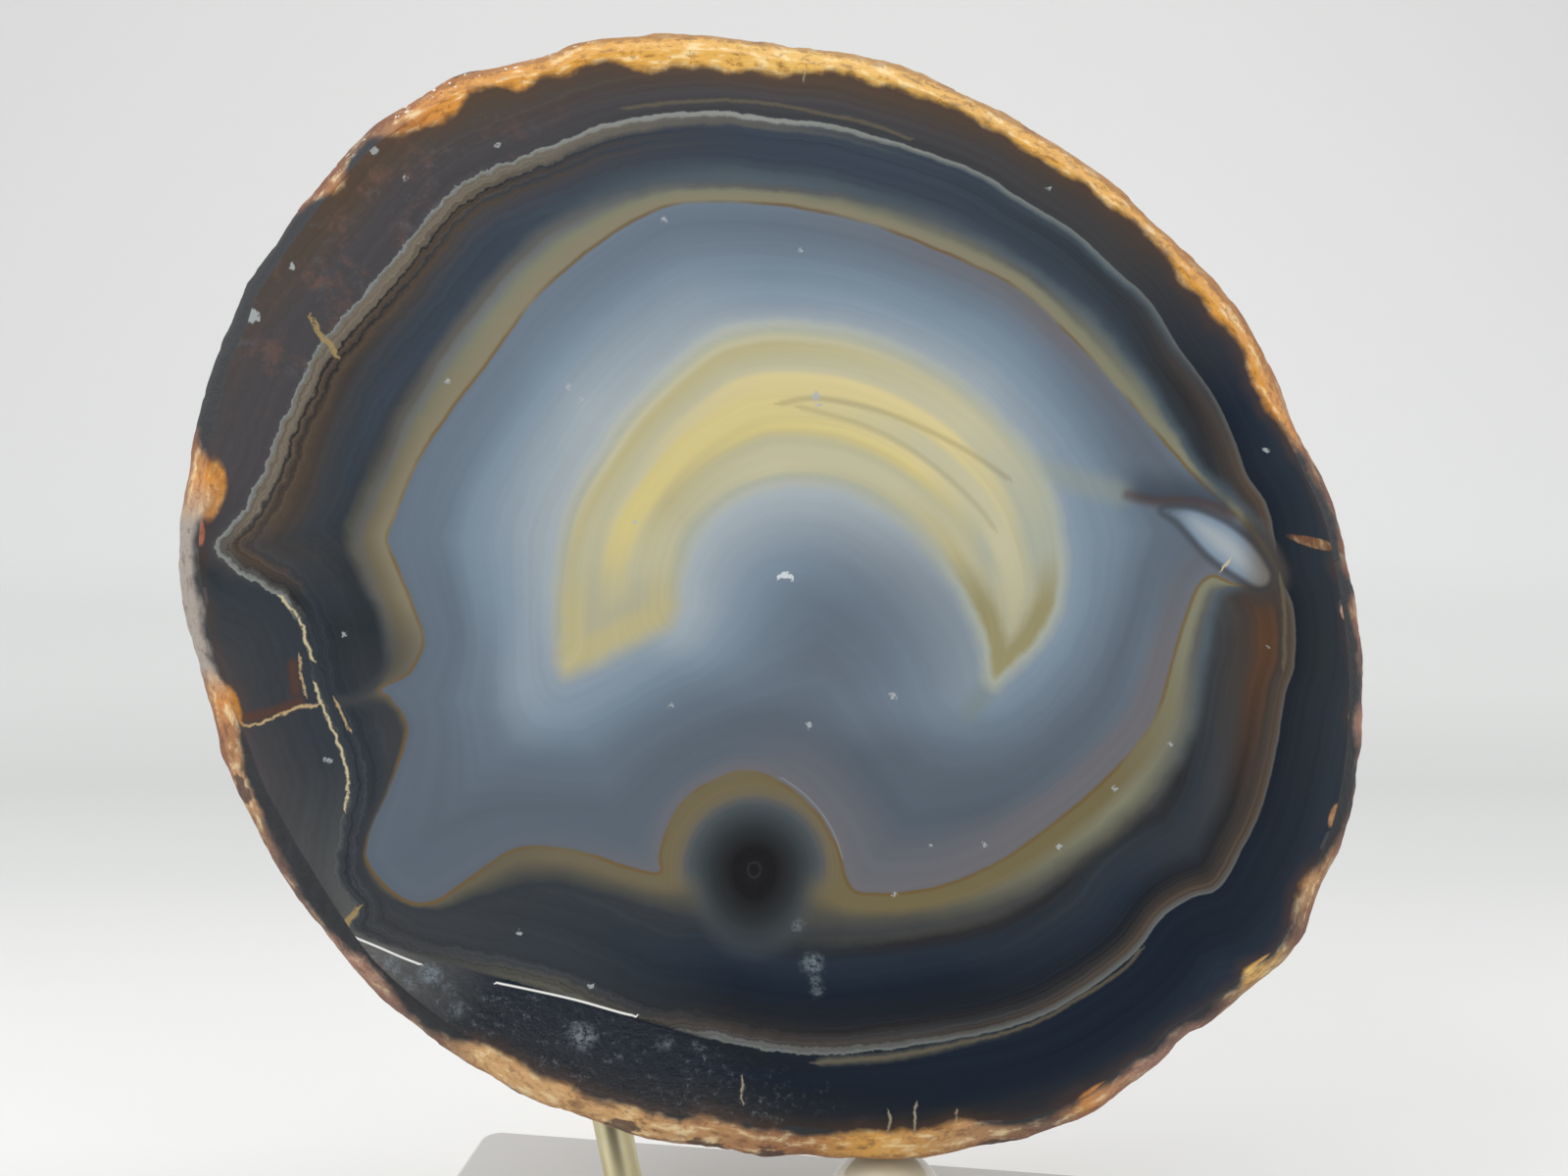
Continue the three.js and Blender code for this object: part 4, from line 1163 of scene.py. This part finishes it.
def clear_rubber():
    n = Nodes("clear_rubber")
    place = n.add("ShaderNodeTexCoord", {}, "Object")
    cloud = n.noise(place, 120.0, 3.0)
    n.put(n.shader.inputs["Base Color"], n.ramp(cloud, [(0.3, "#faf5de"), (0.7, "#efe8c8")]))
    fine = n.noise(place, 700.0, 4.0, 0.6)
    rough = n.add("ShaderNodeMapRange", {"Value": fine, "To Min": 0.06, "To Max": 0.18})
    n.put(n.shader.inputs["Roughness"], rough)
    n.shader.inputs["Transmission Weight"].default_value = 0.2
    n.shader.inputs["IOR"].default_value = 1.43
    return n.material


# The stand

def turned(name, profile, start, axis):
    """A smooth turned body: (radius, height) pairs up its axis, in millimetres, from its start."""
    turns = np.arange(LATHE_STEPS) * 2 * math.pi / LATHE_STEPS
    side = axis.cross(Vector((0, 1, 0))).normalized()
    front = axis.cross(side)
    spin = np.outer(np.cos(turns), side) + np.outer(np.sin(turns), front)
    body = profile[1:-1]
    rings = [np.array(start) + np.array(axis) * height + spin * radius for radius, height in body]
    ends = [np.array([np.array(start) + np.array(axis) * h]) for h in (profile[0][1], profile[-1][1])]
    points = np.vstack([ends[0], *rings, ends[1]])
    faces = []
    last = len(points) - 1
    for i in range(LATHE_STEPS):
        j = (i + 1) % LATHE_STEPS
        faces.append((0, 1 + i, 1 + j))
        for k in range(len(body) - 1):
            near, far = 1 + k * LATHE_STEPS, 1 + (k + 1) * LATHE_STEPS
            faces.append((near + i, far + i, far + j, near + j))
        faces.append((last, last - LATHE_STEPS + j, last - LATHE_STEPS + i))
    piece = new_mesh(name, points * MM, faces)
    piece.data.set_sharp_from_angle(angle=math.radians(40))
    return piece


def rounded(radius, start, steps=36):
    """Points of an arc around (0, 0) as (radius, height), from one elevation nearly to the top."""
    angles = np.linspace(start, math.pi / 2, steps)[:-1]
    return [(radius * math.cos(a), radius * math.sin(a)) for a in angles]


def corner(radius, height, size, start, end, steps=5):
    """A small rounded corner centred at (radius, height), between two angles."""
    return [(radius + size * math.cos(a), height + size * math.sin(a)) for a in np.linspace(start, end, steps)]


def peg(name, axis, metal):
    """A brass rod that fills its CAD node's box along its axis."""
    low, high = (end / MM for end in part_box(f"peg_{name}"))
    tilt = math.sqrt(1 - axis.z**2)
    length = (high.z - low.z - 2 * (PEG_RADIUS - PEG_CHAMFER) * tilt) / axis.z
    start = (low + high) / 2 - axis * length / 2
    inner = PEG_RADIUS - PEG_CHAMFER
    right = math.pi / 2
    profile = (
        [(0, 0)] + corner(inner, PEG_CHAMFER, PEG_CHAMFER, -right, 0)
        + corner(inner, length - PEG_CHAMFER, PEG_CHAMFER, 0, right) + [(0, length)]
    )
    piece = turned(f"rod_{name}", profile, start, axis)
    piece.data.materials.append(metal)
    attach(piece, "root")
    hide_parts(f"peg_{name}")


def tip(name, foot, axis, rubber):
    """A tip with a socket for its rod: a ball in front, a short cap on the others."""
    kind = BALL if name == "front" else CAP
    radius = kind["radius"]
    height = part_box(f"tip_{name}")[1].z / MM - radius
    centre = foot + axis * ((height - foot.z) / axis.z)
    socket = PEG_RADIUS + GAP
    if kind is BALL:
        lowest = -math.acos(socket / radius)
        mouth = radius * math.sin(lowest)
        shell = rounded(radius, lowest)
    else:
        mouth = radius - kind["length"]
        shell = [(socket, mouth)] + corner(radius - 0.35, mouth + 0.35, 0.35, -math.pi / 2, 0)
        shell += rounded(radius, 0)
    top = mouth + kind["socket"]
    piece = turned(f"soft_tip_{name}", [(0, top), (socket, top)] + shell + [(0, radius)], centre, axis)
    piece.data.materials.append(rubber)
    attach(piece, "root")
    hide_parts(f"tip_{name}")


def build_object():
    low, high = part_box("stand_base")
    middle = (low + high) / 2 / MM
    shift = Vector((middle.x - BASE_CENTRE[0], middle.y - BASE_CENTRE[1]))

    agate = stone(shift)
    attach(agate, "root")
    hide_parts("agate_geode")

    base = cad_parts["stand_base"]
    base.data.materials.clear()
    base.data.materials.append(satin_acrylic())

    metal, rubber = pale_brass(), clear_rubber()
    for name, (foot, lean) in PEGS.items():
        axis = Vector((*lean, 1)).normalized()
        peg(name, axis, metal)
        tip(name, Vector((foot[0] + shift.x, foot[1] + shift.y, BASE_TOP)), axis, rubber)
    return shift


# The setting

def pale_floor():
    """Pale, with painted light near the object, where the object keeps some of the light off, and a painted
    shadow band a little further behind.
    """
    n = Nodes("pale_floor")
    place = n.add("ShaderNodeTexCoord", {}, "Object")
    split = n.tree.nodes.new("ShaderNodeSeparateXYZ")
    n.put(split.inputs[0], place)
    depth = n.math("ADD", split.outputs[1], n.product(n.math("SUBTRACT", n.noise(place, 3.0), 0.5), 0.04))
    n.put(n.shader.inputs["Base Color"], n.ramp(depth, FLOOR_TINTS))
    n.shader.inputs["Roughness"].default_value = 0.7
    n.shader.inputs["Specular IOR Level"].default_value = 0.2
    return n.material


def dark_cloth():
    n = Nodes("dark_cloth")
    place = n.add("ShaderNodeTexCoord", {}, "Object")
    n.put(n.shader.inputs["Base Color"], n.ramp(n.noise(place, 3.0), [(0.3, "#050505"), (0.7, "#070707")]))
    n.shader.inputs["Roughness"].default_value = 0.9
    n.shader.inputs["Specular IOR Level"].default_value = 0.2
    return n.material


def build_setting():
    """A pale floor that sweeps up far behind, and a dark card that only reflections see."""
    span = 4.0
    sweep = [(-3.0, 0.0), (0.5, 0.0)]
    sweep += [(0.5 + 0.5 * math.sin(a), 0.5 - 0.5 * math.cos(a)) for a in np.linspace(0.1, math.pi / 2, 16)]
    sweep.append((1.0, 3.0))
    points = [(x, y, z) for y, z in sweep for x in (-span, span)]
    faces = [(2 * k, 2 * k + 1, 2 * k + 3, 2 * k + 2) for k in range(len(sweep) - 1)]
    floor = new_mesh("floor", points, faces)
    floor.data.materials.append(pale_floor())
    floor.visible_glossy = False

    card = new_mesh("dark_card", [(-0.75, -1.3, -0.9), (0.75, -1.3, -0.9), (0.75, -1.3, 1), (-0.75, -1.3, 1)],
                    [(0, 1, 2, 3)])
    card.data.materials.append(dark_cloth())
    card.visible_camera = False
    card.visible_diffuse = False
    card.visible_shadow = False
    card.visible_transmission = False


def build_lights():
    world = bpy.data.worlds.new("soft_room")
    bpy.context.scene.world = world
    world.use_nodes = True
    background = world.node_tree.nodes["Background"]
    background.inputs["Color"].default_value = rgba("#f4f5f8")
    background.inputs["Strength"].default_value = 0.67

    for name, place, size, power in (
        ("left_softbox", (-0.75, -0.35, 0.75), 0.6, 7.0),
        ("right_softbox", (0.8, -0.2, 0.8), 0.6, 4.7),
        ("top_softbox", (0.3, 0.3, 0.9), 0.6, 1.6),
    ):
        lamp = bpy.data.lights.new(name, "AREA")
        lamp.size = size
        lamp.energy = power
        light = bpy.data.objects.new(name, lamp)
        light.location = place
        light.rotation_euler = (Vector((0, 0, 0.08)) - Vector(place)).to_track_quat("-Z", "Y").to_euler()
        bpy.context.scene.collection.objects.link(light)


def build_camera(shift):
    """The photograph's view: straight at the cut, 160 mm in front of it."""
    place = np.array([[*EYE_POINT, -EYE_DISTANCE]])
    camera = bpy.data.objects.new("camera", bpy.data.cameras.new("camera"))
    camera.data.lens = 36.0
    camera.data.sensor_width = 36.0
    camera.data.clip_start = 0.01
    camera.location = on_frame(place, shift)[0]
    camera.rotation_euler = (math.pi / 2 - LEAN_BACK, 0, 0)
    bpy.context.scene.collection.objects.link(camera)
    bpy.context.scene.camera = camera


def set_colours():
    view = bpy.context.scene.view_settings
    view.view_transform = "Standard"
    view.look = "None"
    view.exposure = 0.0


place_shift = build_object()
build_setting()
build_lights()
build_camera(place_shift)
set_colours()
